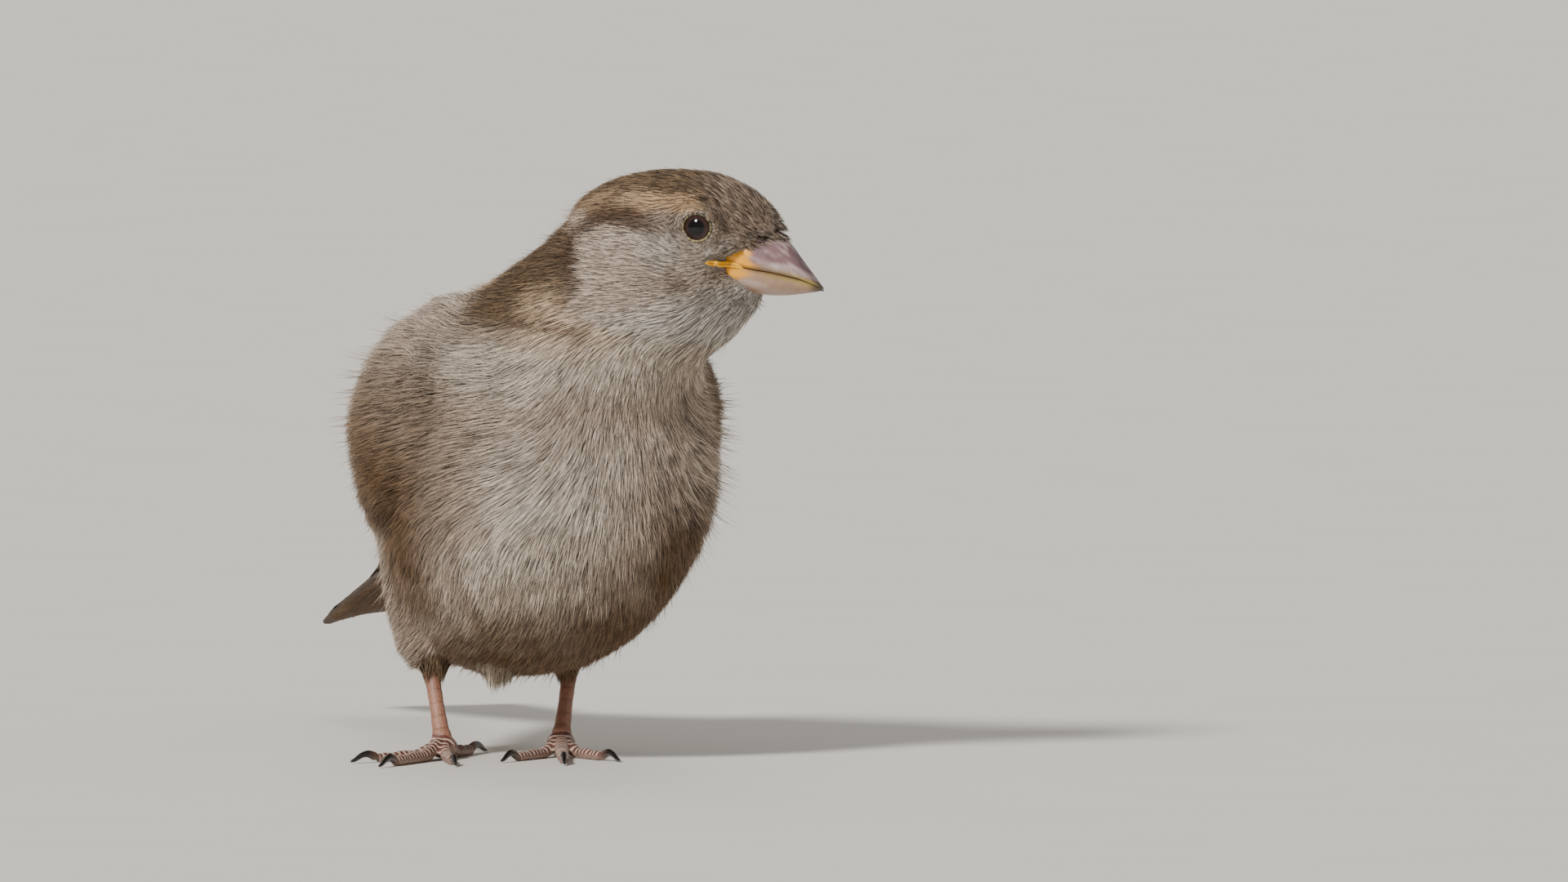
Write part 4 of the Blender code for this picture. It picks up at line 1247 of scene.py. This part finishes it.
def makeBristles():
    rng = np.random.default_rng(71)
    tree = treeOf([skin, *bill])
    paths, pathNormals, tints = [], [], []
    for name, (count, fs, us, way, lengths, tones) in bristleSet.items():
        for sign in (-1, 1):
            for _ in range(count):
                f, u = rng.uniform(*fs), rng.uniform(*us)
                if name == "ridge":  # these are set from above, the others from the side
                    hit = tree.ray_cast(fromHead(f, u, 12), -up, 0.02)[0]
                elif f > float(np.interp(u, *zip(*featherLine))) + 0.15:
                    continue
                else:
                    hit = tree.ray_cast(fromHead(f, sign * 10, u), -headLeft * sign, 0.02)[0]
                if hit is None:
                    continue
                ahead = np.array(way) + rng.normal(0, 0.13, 3)
                ahead = headForward * ahead[0] + headLeft * ahead[1] + up * ahead[2]
                length, curl = rng.uniform(*lengths) * mm, rng.uniform(0.04, 0.30) * mm
                path, ways = [], []
                for t in np.linspace(0, 1, 5):
                    place = hit + ahead * length * t
                    near, out, _, _ = tree.find_nearest(place)
                    clear = (0.04 * mm + curl * t * t) - (place - near).dot(out)
                    path.append(place + out * clear if clear > 0 else place)
                    ways.append(out)
                paths.append(path)
                pathNormals.append(ways)
                tints.append(tones[0] + (tones[1] - tones[0]) * rng.random())
    paths, pathNormals, tints = np.array(paths), np.array(pathNormals), np.array(tints)
    strips = plainStrips(paths, pathNormals, (0.12, 0.085, 0.16), tints, 2, rng)
    coatPiece("bristles", *strips, coatFinish, "head_feathers")
    print("bristles:", len(paths))


# loose feathers that hang free: round the tops of the legs, and in a tuft under the belly
hangSet = {
    # how many; middle, spread and aim of the roots from the body's middle; drop; tones
    "vent": (170, (-5.2, -3.0, 13.5), (3.2, 2.6), (-5.9, -3.2), (2.6, 4.8),
        (colour(126, 104, 80), colour(206, 192, 172))),
    "legs": (190, None, (3.0, 2.8), None, (3.6, 5.6),
        (colour(80, 58, 40), colour(142, 118, 90))),
}


def makeHanging():
    rng = np.random.default_rng(83)
    paths, ways, tints = [], [], []
    for count, middle, spread, aim, drop, tones in hangSet.values():
        # a leg's feathers draw in close to it, and the vent's less so
        least, drawn = (0.9, 0.7) if middle is None else (0.2, 0.4)
        for side in ("left", "right") if middle is None else ("",):
            if middle is None:
                top, foot = shankEnds(side)
                lean = (foot - top) / (top[2] - foot[2])
                top = top + np.array([0, 0, 0.8]) * mm
            else:
                top = np.array(bodyMiddle) + np.array(middle) * mm
                lean = np.array([*(np.array(aim) - np.array(middle[:2])), 0]) / middle[2]
            for _ in range(count):
                a, r = rng.uniform(0, 6.283), math.sqrt(rng.random())
                start = top + np.array([spread[0] * r * math.cos(a), spread[1] * r * math.sin(a), 0]) * mm
                below = Vector(start) - up * 8 * mm
                hit = skinTree.ray_cast(below, up, 0.03)[0]
                if hit is None:
                    continue
                root, length = np.array(hit), rng.uniform(*drop) * mm * (1.1 - 0.5 * r)
                path = []
                for t in np.linspace(0, 1, 5):
                    fall = root[2] - length * t
                    axis = top + lean * (top[2] - fall)
                    gap = (root - axis)[:2]
                    far = np.linalg.norm(gap)
                    keep = max(least * mm, far * (1 - drawn * t**0.7)) / max(far, 1e-6)
                    path.append([axis[0] + gap[0] * keep, axis[1] + gap[1] * keep, fall + 0.4 * mm * (1 - t)])
                outward = np.array([*(root - top)[:2], 0]) + np.array([0, 0, 1e-6])
                paths.append(path)
                ways.append([outward / np.linalg.norm(outward)] * 5)
                tints.append(tones[0] + (tones[1] - tones[0]) * rng.random())
    paths, ways, tints = np.array(paths), np.array(ways), np.array(tints)
    strips = plainStrips(paths, ways, (0.5, 0.07, 0.15), tints, 10, rng)
    coatPiece("hanging", *strips, coatFinish, "breast_feathers")
    print("hanging feathers:", len(paths))


# vaned feathers: a thin web with fine barbs on it, laid over the body from one side.
# A layout holds two directions to measure along, and the way its rays run inwards.
def sideLayout(sign):
    ways = {"a": Vector((0, 1, 0)), "b": Vector((0, 0, 1)), "ray": Vector((-sign, 0, 0))}
    return {**ways, "start": bodyMiddle, "swung": False}


backSlope = math.radians(27)
backLayout = {
    "a": Vector((1, 0, 0)),
    "b": Vector((0, math.cos(backSlope), -math.sin(backSlope))),
    "ray": Vector((0, -math.sin(backSlope), -math.cos(backSlope))),
    "start": bodyMiddle + Vector((0, -10, 56)) * mm,
    "swung": True,
}
tailSlope = math.radians(14)


def tailLayout(below):
    ray = Vector((0, -math.sin(tailSlope), -math.cos(tailSlope))) * (-1 if below else 1)
    ways = Vector((1, 0, 0)), Vector((0, math.cos(tailSlope), -math.sin(tailSlope)))
    start = bodyMiddle + Vector((0, 41, 23.4)) * mm
    return {"a": ways[0], "b": ways[1], "ray": ray, "start": start, "swung": True}


roundTip, pointedTip = (0.70, 2.4), (0.50, 1.5)


# relative half width along a feather
def outline(t, tip):
    start, power = tip
    taper = np.clip((t - start) / (1 - start), 0, 1)
    return (0.45 + 0.55 * smooth(0, 0.4, t)) * np.sqrt(np.clip(1 - taper**power, 0, 1))


# a grid of places over the body for one feather, root to tip by edge to edge
def featherGrid(tree, feather):
    rows, cols = 12, 7
    layout, kind = feather["layout"], feather["kind"]
    low, high, tilt = feather["low"], feather["high"], feather["tilt"]
    root, tip = np.array(feather["root"], float), np.array(feather["tip"], float)
    way = tip - root
    length = np.linalg.norm(way)
    way /= length
    side = np.array([-way[1], way[0]])
    t = np.linspace(0, 1, rows)
    s = np.linspace(-1, 1, cols)
    spread = np.where(s < 0, kind.get("narrow", 1.0), 1.0) * s * feather["half"]
    centre = root + way * (t * length)[:, None] + side * (feather["bow"] * 4 * t * (1 - t))[:, None]
    wide = outline(t, kind.get("shape", roundTip))
    flat = centre[:, None, :] + side * (wide[:, None] * spread)[..., None]
    a, b, ray = (np.array(layout[k]) for k in ("a", "b", "ray"))
    plane = np.array(layout["start"]) + (flat[..., :1] * a + flat[..., 1:] * b) * mm
    if layout["swung"]:
        plane[..., 0] += swing((plane[..., 1] - bodyMiddle.y) / mm) * mm
    depth = np.full((rows, cols), np.nan)
    for i in range(rows):
        for j in range(cols):
            start = Vector(plane[i, j]) - layout["ray"] * 0.05
            hit = tree.ray_cast(start, layout["ray"], 0.1)
            if hit[0]:
                depth[i, j] = hit[3] / mm
    middle = depth[:, cols // 2]
    good = ~np.isnan(middle)
    if not good.any():
        return None
    depth[:, cols // 2] = np.interp(t, t[good], middle[good])
    for step in (1, -1):  # each edge may fall away no steeper than 45 degrees
        for j in range(cols // 2 + step, cols if step > 0 else -1, step):
            before = depth[:, j - step]
            most = np.linalg.norm(flat[:, j] - flat[:, j - step], axis=1) + 0.02
            found = np.where(np.isnan(depth[:, j]), before, depth[:, j])
            depth[:, j] = np.clip(found, before - most, before + most)
    for _ in range(2):
        padded = np.pad(depth, 1, mode="edge")
        depth = (padded[:-2, 1:-1] + padded[2:, 1:-1] + padded[1:-1, :-2] + padded[1:-1, 2:] + 4 * depth) / 8
    grid = plane + (depth[..., None] - 50) * mm * ray
    along, across = np.gradient(grid, axis=0), np.gradient(grid, axis=1)
    normal = unit(np.cross(along, across) + 1e-12)
    normal *= np.where((normal @ ray).mean() > 0, -1, 1)
    rise = low + (high - low) * t[:, None] ** 0.8 - tilt * s[None, :] - 0.10 * np.abs(s[None, :]) ** 2
    return grid + normal * (rise * mm)[..., None], normal, length


# reads a grid at any share of its length and width
def readGrid(grid, t, s):
    rows, cols = grid.shape[:2]
    y = np.clip(t, 0, 1) * (rows - 1)
    x = (np.clip(s, -1, 1) + 1) / 2 * (cols - 1)
    i, j = np.minimum(y.astype(int), rows - 2), np.minimum(x.astype(int), cols - 2)
    y, x = (y - i)[..., None], (x - j)[..., None]
    top = grid[i, j] * (1 - x) + grid[i, j + 1] * x
    return top * (1 - y) + (grid[i + 1, j] * (1 - x) + grid[i + 1, j + 1] * x) * y


# the colour over a feather: a dark heart, a pale edge and tip, a darker shaft
def vaneTint(kind, t, s):
    wave = kind.get("waver", 0.05) * np.sin(t * 17)
    edge = smooth(kind["edgeFrom"], min(kind["edgeFrom"] + 0.26, 1.0), np.abs(s) + wave)
    edge = np.maximum(edge, smooth(1 - kind["tipEdge"] * 1.3, 1 - kind["tipEdge"] * 0.6, t))
    tint = blend(kind["heart"], kind["edge"], edge)
    shaft = np.clip(smooth(0.09, 0.02, np.abs(s)) * smooth(1.0, 0.7, t), 0, 1)
    return blend(tint, kind["heart"] * 0.55, shaft)


vaneSheets = []  # the webs' points and faces, for what lies over them


# the barbs of both webs of a feather: points, colours and map places of seven-point strips
def featherBarbs(feather, grid, normal, length, glow, place, rng):
    kind = feather["kind"]
    count = max(int(length / kind.get("barbGap", 0.20)), 8)
    half = 0.62 / count
    points, colours, maps = [], [], []
    for side in (-1, 1):
        web = feather["half"] * (kind.get("narrow", 1.0) if side < 0 else 1.0)
        root = np.linspace(0.0, 0.985, count) + rng.normal(0, 0.2 / count, count)
        sweep = np.clip(1.5 * web / length, 0.04, 0.5) * rng.uniform(0.88, 1.12, count)
        reach = rng.uniform(0.90, 1.0, count) * np.where(rng.random(count) < 0.05, 0.8, 1)
        shade = 1 + rng.normal(0, 0.10, count)
        bump = rng.uniform(-0.02, 0.03, count)
        webPoints, webColours, webMaps = [], [], []
        for station, width in ((0.0, 0.8), (0.42, 1.0), (0.82, 0.9), (1.0, 0.0)):
            s = side * station * reach
            middle = root + sweep * station**1.25
            for edge in ((-1, 1) if width else (0,)):
                t = np.clip(middle + edge * half * width, 0, 1)
                rise = (bump + 0.03 * (edge > 0)) * mm
                webPoints.append(readGrid(grid, t, s) + readGrid(normal, t, s) * rise[:, None])
                # painted light and shade: one edge of each barb is painted lighter than the raised one
                lit = glow * shade * (0.92 + 0.1 * (edge < 0))
                webColours.append(vaneTint(kind, t, s) * lit[:, None])
                webMaps.append(place(t, s))
        points.append(np.stack(webPoints, axis=1))
        colours.append(np.stack(webColours, axis=1))
        maps.append(np.stack(webMaps, axis=1))
    return points, colours, maps


# builds one joined mesh from a list of feathers
def makeVanes(name, feathers, tree, slot, finish, seed=5):
    rng = np.random.default_rng(seed)
    sheetPoints, sheetFaces, sheetColours, sheetMaps = [], [], [], []
    points, colours, maps = [], [], []
    cells = math.ceil(math.sqrt(len(feathers)))
    start = 0
    for number, feather in enumerate(feathers):
        made = featherGrid(tree, feather)
        if made is None:
            continue
        grid, normal, length = made
        rows, cols = grid.shape[:2]
        glow = 1 + rng.normal(0, 0.06)
        corner = np.array([number % cells, number // cells]) / cells

        def place(t, s):  # each feather has a cell of its own on the map
            return corner + np.stack([0.5 + s * 0.4, 0.1 + t * 0.8], axis=-1) / cells

        t, s = np.meshgrid(np.linspace(0, 1, rows), np.linspace(-1, 1, cols), indexing="ij")
        sheetPoints.append((grid - normal * 0.06 * mm).reshape(-1, 3))
        # painted shade: the web under the barbs is darker, for the shade between them
        sheetColours.append((vaneTint(feather["kind"], t, s) * 0.7 * glow).reshape(-1, 3))
        sheetMaps.append(place(t, s).reshape(-1, 2))
        at = start + np.arange(rows * cols).reshape(rows, cols)
        corners = (at[:-1, :-1], at[1:, :-1], at[1:, 1:], at[:-1, 1:])
        sheetFaces.append(np.stack(corners, axis=-1).reshape(-1, 4))
        start += rows * cols
        barbs = featherBarbs(feather, grid, normal, length, glow, place, rng)
        for whole, part in zip((points, colours, maps), barbs):
            whole += part
    points, colours, maps = (np.concatenate(a) for a in (points, colours, maps))
    quads, tips = stripFaces(len(points), start)
    faces = (np.concatenate([*sheetFaces, quads]), tips)
    verts = np.concatenate([*sheetPoints, points.reshape(-1, 3)])
    mesh = meshFrom(name, verts, faces, np.concatenate([*sheetColours, colours.reshape(-1, 3)]))
    mapOn(mesh, np.concatenate([*sheetMaps, maps.reshape(-1, 2)]), faces)
    vaneSheets.append((np.concatenate(sheetPoints), np.concatenate(sheetFaces)))
    mesh.materials.append(finish)
    print(name + ":", len(feathers), "feathers,", len(faces[0]) * 2 + len(tips), "triangles")
    return showPiece(bpy.data.objects.new(name, mesh), slot=slot)


def kindOf(heart, edge, edgeFrom, tipEdge, **more):
    return {"heart": colour(*heart), "edge": colour(*edge), "edgeFrom": edgeFrom, "tipEdge": tipEdge, **more}


# feather kinds: colours of heart and edge, where the edge begins across the web, and the tip's share
kinds = {
    "lesser": kindOf((104, 86, 68), (138, 118, 96), 0.45, 0.2),
    "median": kindOf((58, 44, 36), (180, 160, 132), 0.86, 0.24),
    "greater": kindOf((70, 52, 41), (142, 112, 82), 0.56, 0.12, narrow=0.8),
    "tertial": kindOf((62, 47, 38), (148, 120, 90), 0.62, 0.06, narrow=0.8),
    "secondary": kindOf((66, 53, 44), (132, 106, 80), 0.68, 0.03, narrow=0.5, barbGap=0.26),
    "primary": kindOf((58, 47, 40), (124, 102, 80), 0.72, 0.02, narrow=0.45, shape=pointedTip, barbGap=0.28),
    "covert": kindOf((58, 46, 38), (112, 90, 70), 0.66, 0.05, narrow=0.6, shape=pointedTip),
    "scapular": kindOf((50, 37, 29), (142, 113, 84), 0.36, 0.06, waver=0.10),
    "mantle": kindOf((44, 33, 26), (140, 112, 82), 0.36, 0.015, waver=0.12),
    "brace": kindOf((56, 42, 33), (174, 146, 112), 0.20, 0.02, waver=0.10),
    "rump": kindOf((112, 93, 75), (134, 113, 92), 0.4, 0.2),
    "tail": kindOf((62, 48, 39), (118, 96, 76), 0.78, 0.02, narrow=0.7, barbGap=0.30),
    "tailUnder": kindOf((94, 72, 54), (138, 112, 86), 0.72, 0.02, barbGap=0.34),
}


def between(a, b, share):
    return (a[0] + (b[0] - a[0]) * share, a[1] + (b[1] - a[1]) * share)


# a row of feathers whose roots and tips each run along a line
def featherRow(layout, kind, count, roots, tips, half, low, high, step, tilt, bow, rng):
    row = []
    for i in range(count):
        share = i / max(count - 1, 1)
        wobble = rng.normal(0, 0.16, 4)
        root, tip = between(*roots, share), between(*tips, share)
        row.append({
            "layout": layout, "kind": kinds[kind], "half": half, "tilt": tilt, "bow": bow,
            "root": (root[0] + wobble[0], root[1] + wobble[1]),
            "tip": (tip[0] + wobble[2], tip[1] + wobble[3]),
            "low": low + step * i, "high": high + step * i,
        })
    return row


# rows run from the wing's lower edge up; places are back and up from the body's middle
wingRows = (
    # kind, how many, roots of the first and last, tips of the first and last,
    # half width, height of roots and of tips, step, tilt, bow
    ("primary", 8, ((22, 25.4), (27, 35)), ((57.4, 22.9), (40.5, 31.4)), 2.4, 0.05, 0.12, 0.045, 0.10, -0.5),
    ("secondary", 8, ((6, 31.0), (8, 43.0)), ((38.0, 26.6), (35.5, 34.6)), 2.9, 0.12, 0.20, 0.05, 0.10, -0.5),
    ("covert", 4, ((-5, 33.6), (-2, 36.5)), ((10.5, 28.6), (12.5, 31.0)), 1.7, 0.42, 0.50, 0.04, 0.10, 0.0),
    ("tertial", 3, ((7, 42.5), (3, 52.0)), ((35.0, 33.4), (26.0, 42.0)), 4.0, 0.50, 0.68, 0.13, 0.14, 0.5),
    ("covert", 3, ((-8.5, 36.5), (-8.5, 39.0)), ((3.5, 30.6), (4.5, 33.2)), 1.5, 0.60, 0.72, 0.05, 0.10, 0.0),
    ("greater", 9, ((-4.5, 35), (-1, 53)), ((11, 31.6), (13.5, 46.2)), 2.2, 0.55, 0.85, 0.035, 0.12, 0.0),
    ("median", 8, ((-7.5, 36.5), (-5.5, 54.5)), ((0.8, 34.4), (4.4, 50.6)), 1.9, 0.70, 1.10, 0.03, 0.10, 0.0),
    ("lesser", 8, ((-8.6, 37), (-7.5, 55)), ((-3.2, 35.4), (-1.2, 53.0)), 1.5, 0.75, 1.15, 0.01, 0.10, 0.0),
)


def makeWing(side, sign):
    rng = np.random.default_rng(31 if side == "left" else 32)
    layout = sideLayout(sign)
    primaries, *rest = (featherRow(layout, *row, rng) for row in wingRows)
    makeVanes("wingVanes_" + side, sum(rest, []), wholeTree, "wing_feathers", vaneFinish)
    makeVanes("primaryVanes_" + side, primaries, wholeTree, "primary_feathers", vaneFinish)


# mantle and scapulars, row over row from the rump forward
backSet = {
    "rows": 17, "gap": 2.4, "first": 34.0, "across": 2.0,
    # half the width of the back, and the length of its feathers, by distance back
    "widths": ((-6, 0, 8, 20, 33), (8.5, 12.0, 12.5, 8.5, 5.0)),
    "lengths": ((-6, 5, 20, 33), (5.6, 8.4, 9.0, 7.0)),
}


def backKind(back, outward, rng):
    if back > 25 + rng.normal(0, 1):
        return "rump"
    if outward > 0.72:
        return "scapular"
    return "brace" if 0.42 < outward < 0.60 else "mantle"


def makeBack():
    rng = np.random.default_rng(44)
    feathers = []
    for k in range(backSet["rows"]):
        back = backSet["first"] - k * backSet["gap"]
        wide = float(np.interp(back, *backSet["widths"]))
        count = max(int(wide * 2 / backSet["across"]), 3)
        for i in range(count):
            x = -wide + 2 * wide * (i + 0.5 * (k % 2) + 0.25) / count + rng.normal(0, 0.45)
            if abs(x) > wide + 0.6:
                continue
            outward = abs(x) / wide
            kind = backKind(back, outward, rng)
            size = float(np.interp(back, *backSet["lengths"])) * (1.25 if kind == "scapular" else 1)
            root = back + rng.normal(0, 0.7) - 1.0
            drift = x * 0.02 + 0.10 * np.sign(x) * outward * (1 if back < 12 else -1.2)
            tipAcross = x + drift * size * 0.5 + rng.normal(0, 0.5)
            feathers.append({
                "layout": backLayout, "kind": kinds[kind], "half": 1.65 if kind == "scapular" else 1.35,
                "root": (x, root), "tip": (tipAcross, root + size * rng.uniform(0.9, 1.12)),
                "low": 0.30, "high": 0.85 + 0.15 * outward + rng.normal(0, 0.05),
                "tilt": 0.04 * float(np.sign(x)), "bow": 0.0,
            })
    makeVanes("backVanes", feathers, wholeTree, "breast_feathers", vaneFinish)


# twelve tail feathers, seen from above and from below
def makeTail():
    feathers = []
    for below in (False, True):
        layout = tailLayout(below)
        kind = kinds["tailUnder" if below else "tail"]
        for i in (range(6) if below else range(5, -1, -1)):
            high = 0.05 + 0.03 * i if below else 0.10 + 0.05 * (5 - i)
            for sign in (-1, 1):
                across = sign * (i + 0.5)
                feathers.append({
                    "layout": layout, "kind": kind, "half": 2.1, "low": 0.05, "high": high,
                    "root": (across * 0.62, -2.0), "tip": (across * 1.34, 46.2 + 0.55 * i),
                    "tilt": 0.05 * sign, "bow": 0.0,
                })
    makeVanes("tailVanes", feathers, wholeTree, "tail_feathers", vaneFinish)


vaneFinish = paintedFinish("vaneBrown", grain=1800.0, low=0.88, high=1.12, roughness=0.78, specular=0.14)
coatFinish = paintedFinish("plumageBarbs", roughness=0.68, sheen=0.06, specular=0.22)
for side, sign in bothSides:
    makeWing(side, sign)
makeBack()
makeTail()
makeCoat()
makeBristles()
makeHanging()


# feet

footSet = {
    "puff": 0.19, "voxel": 0.11, "softening": 8, "scute": 0.78, "relief": 0.075,
    "brown": colour(106, 66, 54), "cream": colour(202, 178, 160), "deep": colour(66, 38, 32),
    "shank": colour(156, 110, 88),
}


def makeFoot(side):
    toes = [f"toe_{side}_{i}" for i in (1, 2, 3, 4)]
    flesh = [f"tarsus_{side}", *toes]
    foot = grownTogether("footSkin_" + side, flesh, footSet["puff"], footSet["voxel"], footSet["softening"])
    places, ways = pointsOf(foot.data), normalsOf(foot.data)
    top = shankEnds(side)[0]
    claws = {i: np.array(middleOf(f"claw_{side}_{i}")) for i in (1, 2, 3, 4)}
    tips = {i: np.array(middleOf(f"toe_{side}_{i}")) for i in (1, 2, 3, 4)}
    base = np.mean([2.2 * tips[i] - 1.2 * claws[i] for i in (1, 3)], axis=0)
    base[2] = 1.9 * mm
    # how far each point is along its own toe or up the shank
    best = np.full(len(places), 1e9)
    along = np.zeros(len(places))
    shank = np.zeros(len(places))
    lines = [(base, top, 1.0)] + [(base, claws[i], 0.0) for i in claws]
    for start, end, isShank in lines:
        way = end - start
        length = np.linalg.norm(way)
        way = way / length
        t = np.clip((places - start) @ way, 0, length)
        gap = np.linalg.norm(places - start - t[:, None] * way, axis=1) + (0 if isShank else 0.1 * mm)
        closer = gap < best
        best[closer], along[closer], shank[closer] = gap[closer], t[closer] / mm, isShank
    upward = smooth(-0.15, 0.35, ways[:, 2] * (1 - shank) + shank)
    step = np.where(shank > 0.5, 1.7, footSet["scute"])
    phase = (along / step) % 1.0
    ridge = (phase**0.7) * (1 - smooth(0.86, 1.0, phase))
    under = 1 - upward
    pads = 0.5 + 0.5 * np.cos(along / 2.1 * 6.28)
    scutes = footSet["relief"] * (ridge - 0.5) * upward * np.where(shank > 0.5, 0.6, 1.0)
    offset = -footSet["puff"] + scutes + 0.05 * pads * under
    places = places + ways * (offset * mm)[:, None]
    places[:, 2] = np.maximum(places[:, 2], 0.0)
    foot.data.vertices.foreach_set("co", places.astype(np.float32).ravel())
    foot.data.update()
    rough = ripple(places / mm, 1.2, 41)
    tint = np.broadcast_to(footSet["brown"], places.shape)
    tint = blend(tint, footSet["deep"], smooth(0.1, 0.9, rough) * 0.6)
    tint = blend(tint, footSet["shank"], shank)
    ring = smooth(0.62, 0.82, phase) * upward * (1 - shank)
    tint = blend(tint, footSet["cream"], np.clip(ring + 0.35 * under * (1 - shank), 0, 1) * 0.85)
    tint = blend(tint, footSet["deep"], np.clip(smooth(0.10, 0.0, phase) * upward, 0, 1) * 0.6)
    # painted shade: the shank darkens towards its top, in the shade under the body
    tint = blend(tint, footSet["deep"], smooth(7.0, 10.5, places[:, 2] / mm) * 0.4)
    paintPoints(foot.data, tint)
    foot.data.materials.append(scaleFinish)
    return showPiece(foot, flesh, "toe_skin")


clawSet = {"base": colour(96, 70, 56), "tip": colour(24, 18, 17)}


def makeClaw(side, toe):
    node = f"claw_{side}_{toe}"
    claw = roundedNode(f"claw_{side}_horn_{toe}", node, 0.02, clawFinish, 2)
    places = pointsOf(claw.data)
    foot = np.array(middleOf(f"tarsus_{side}"))
    far = np.linalg.norm((places - foot)[:, :2], axis=1)
    t = (far - far.min()) / (far.max() - far.min())
    tint = blend(np.broadcast_to(clawSet["base"], places.shape), clawSet["tip"], smooth(0.0, 0.45, t))
    paintPoints(claw.data, tint)
    return showPiece(claw, (node,), "claw_horn")


scaleFinish = paintedFinish("scalySkin", grain=3500.0, bump=0.35, bumpScale=5200.0,
                            roughness=0.42, subsurface=0.06)
clawFinish = paintedFinish("clawHorn", grain=3000.0, bump=0.12, roughness=0.24, coat=0.3)
for side in ("left", "right"):
    makeFoot(side)
    for toe in (1, 2, 3, 4):
        makeClaw(side, toe)
print("feet and claws made")


# floor, lights and camera

stageSet = {
    "floor": colour(226, 221, 212),
    "azimuth": -22.0, "elevation": 3.0, "distance": 3.0, "lens": 567.0,
    "aimAcross": 31.4, "aimHeight": 38.5,
    # each light: azimuth, elevation, strength, softness in degrees
    "key": (-54, 36, 3.9, 10), "fill": (20, 25, 0.15, 60), "rim": (160, 50, 0.5, 30),
    "world": 0.36, "sky": (0.93, 0.91, 0.88, 1),
}


# the way from the bird to a lamp or the camera
def towards(azimuth, elevation):
    a, e = math.radians(azimuth), math.radians(elevation)
    return Vector((math.sin(a) * math.cos(e), -math.cos(a) * math.cos(e), math.sin(e)))


def lightAt(name, azimuth, elevation, strength, softness):
    away = towards(azimuth, elevation)
    data = bpy.data.lights.new(name, "SUN")
    data.angle = math.radians(softness)
    data.energy = strength
    obj = bpy.data.objects.new(name, data)
    obj.location = bodyMiddle + away
    obj.rotation_euler = away.to_track_quat("Z", "Y").to_euler()
    bpy.context.scene.collection.objects.link(obj)


def makeStage():
    bm = bmesh.new()
    bmesh.ops.create_grid(bm, x_segments=8, y_segments=8, size=4.0)
    mesh = bpy.data.meshes.new("floor")
    bm.to_mesh(mesh)
    bm.free()
    floor = bpy.data.objects.new("floor", mesh)
    floor.location.z = -0.00005
    made, tree, shader = material("paleFloor", roughness=0.8)
    noise = noiseNode(tree, 300.0)
    ramp = addNode(tree, "ShaderNodeMapRange")
    ramp.inputs["To Min"].default_value = 0.97
    ramp.inputs["To Max"].default_value = 1.03
    scaled = addNode(tree, "ShaderNodeVectorMath", operation="SCALE")
    scaled.inputs[0].default_value = stageSet["floor"]
    tree.links.new(noise.outputs["Fac"], ramp.inputs["Value"])
    tree.links.new(ramp.outputs["Result"], scaled.inputs["Scale"])
    tree.links.new(scaled.outputs["Vector"], shader.inputs["Base Color"])
    mesh.materials.append(made)
    bpy.context.scene.collection.objects.link(floor)
    world = bpy.data.worlds.new("studio")
    bpy.context.scene.world = world
    world.use_nodes = True
    sky = world.node_tree.nodes["Background"]
    sky.inputs["Color"].default_value = stageSet["sky"]
    sky.inputs["Strength"].default_value = stageSet["world"]
    lightAt("keyLight", *stageSet["key"])
    lightAt("fillLight", *stageSet["fill"])
    lightAt("rimLight", *stageSet["rim"])
    a = math.radians(stageSet["azimuth"])
    back = towards(stageSet["azimuth"], stageSet["elevation"])
    across = Vector((math.cos(a), math.sin(a), 0))
    aim = bodyMiddle + across * stageSet["aimAcross"] * mm + up * stageSet["aimHeight"] * mm
    data = bpy.data.cameras.new("camera")
    data.lens = stageSet["lens"]
    data.sensor_width = 36
    data.clip_end = 50
    camera = bpy.data.objects.new("camera", data)
    camera.location = aim + back * stageSet["distance"]
    camera.rotation_euler = back.to_track_quat("Z", "Y").to_euler()
    bpy.context.scene.collection.objects.link(camera)
    bpy.context.scene.camera = camera


makeStage()
print("stage set")
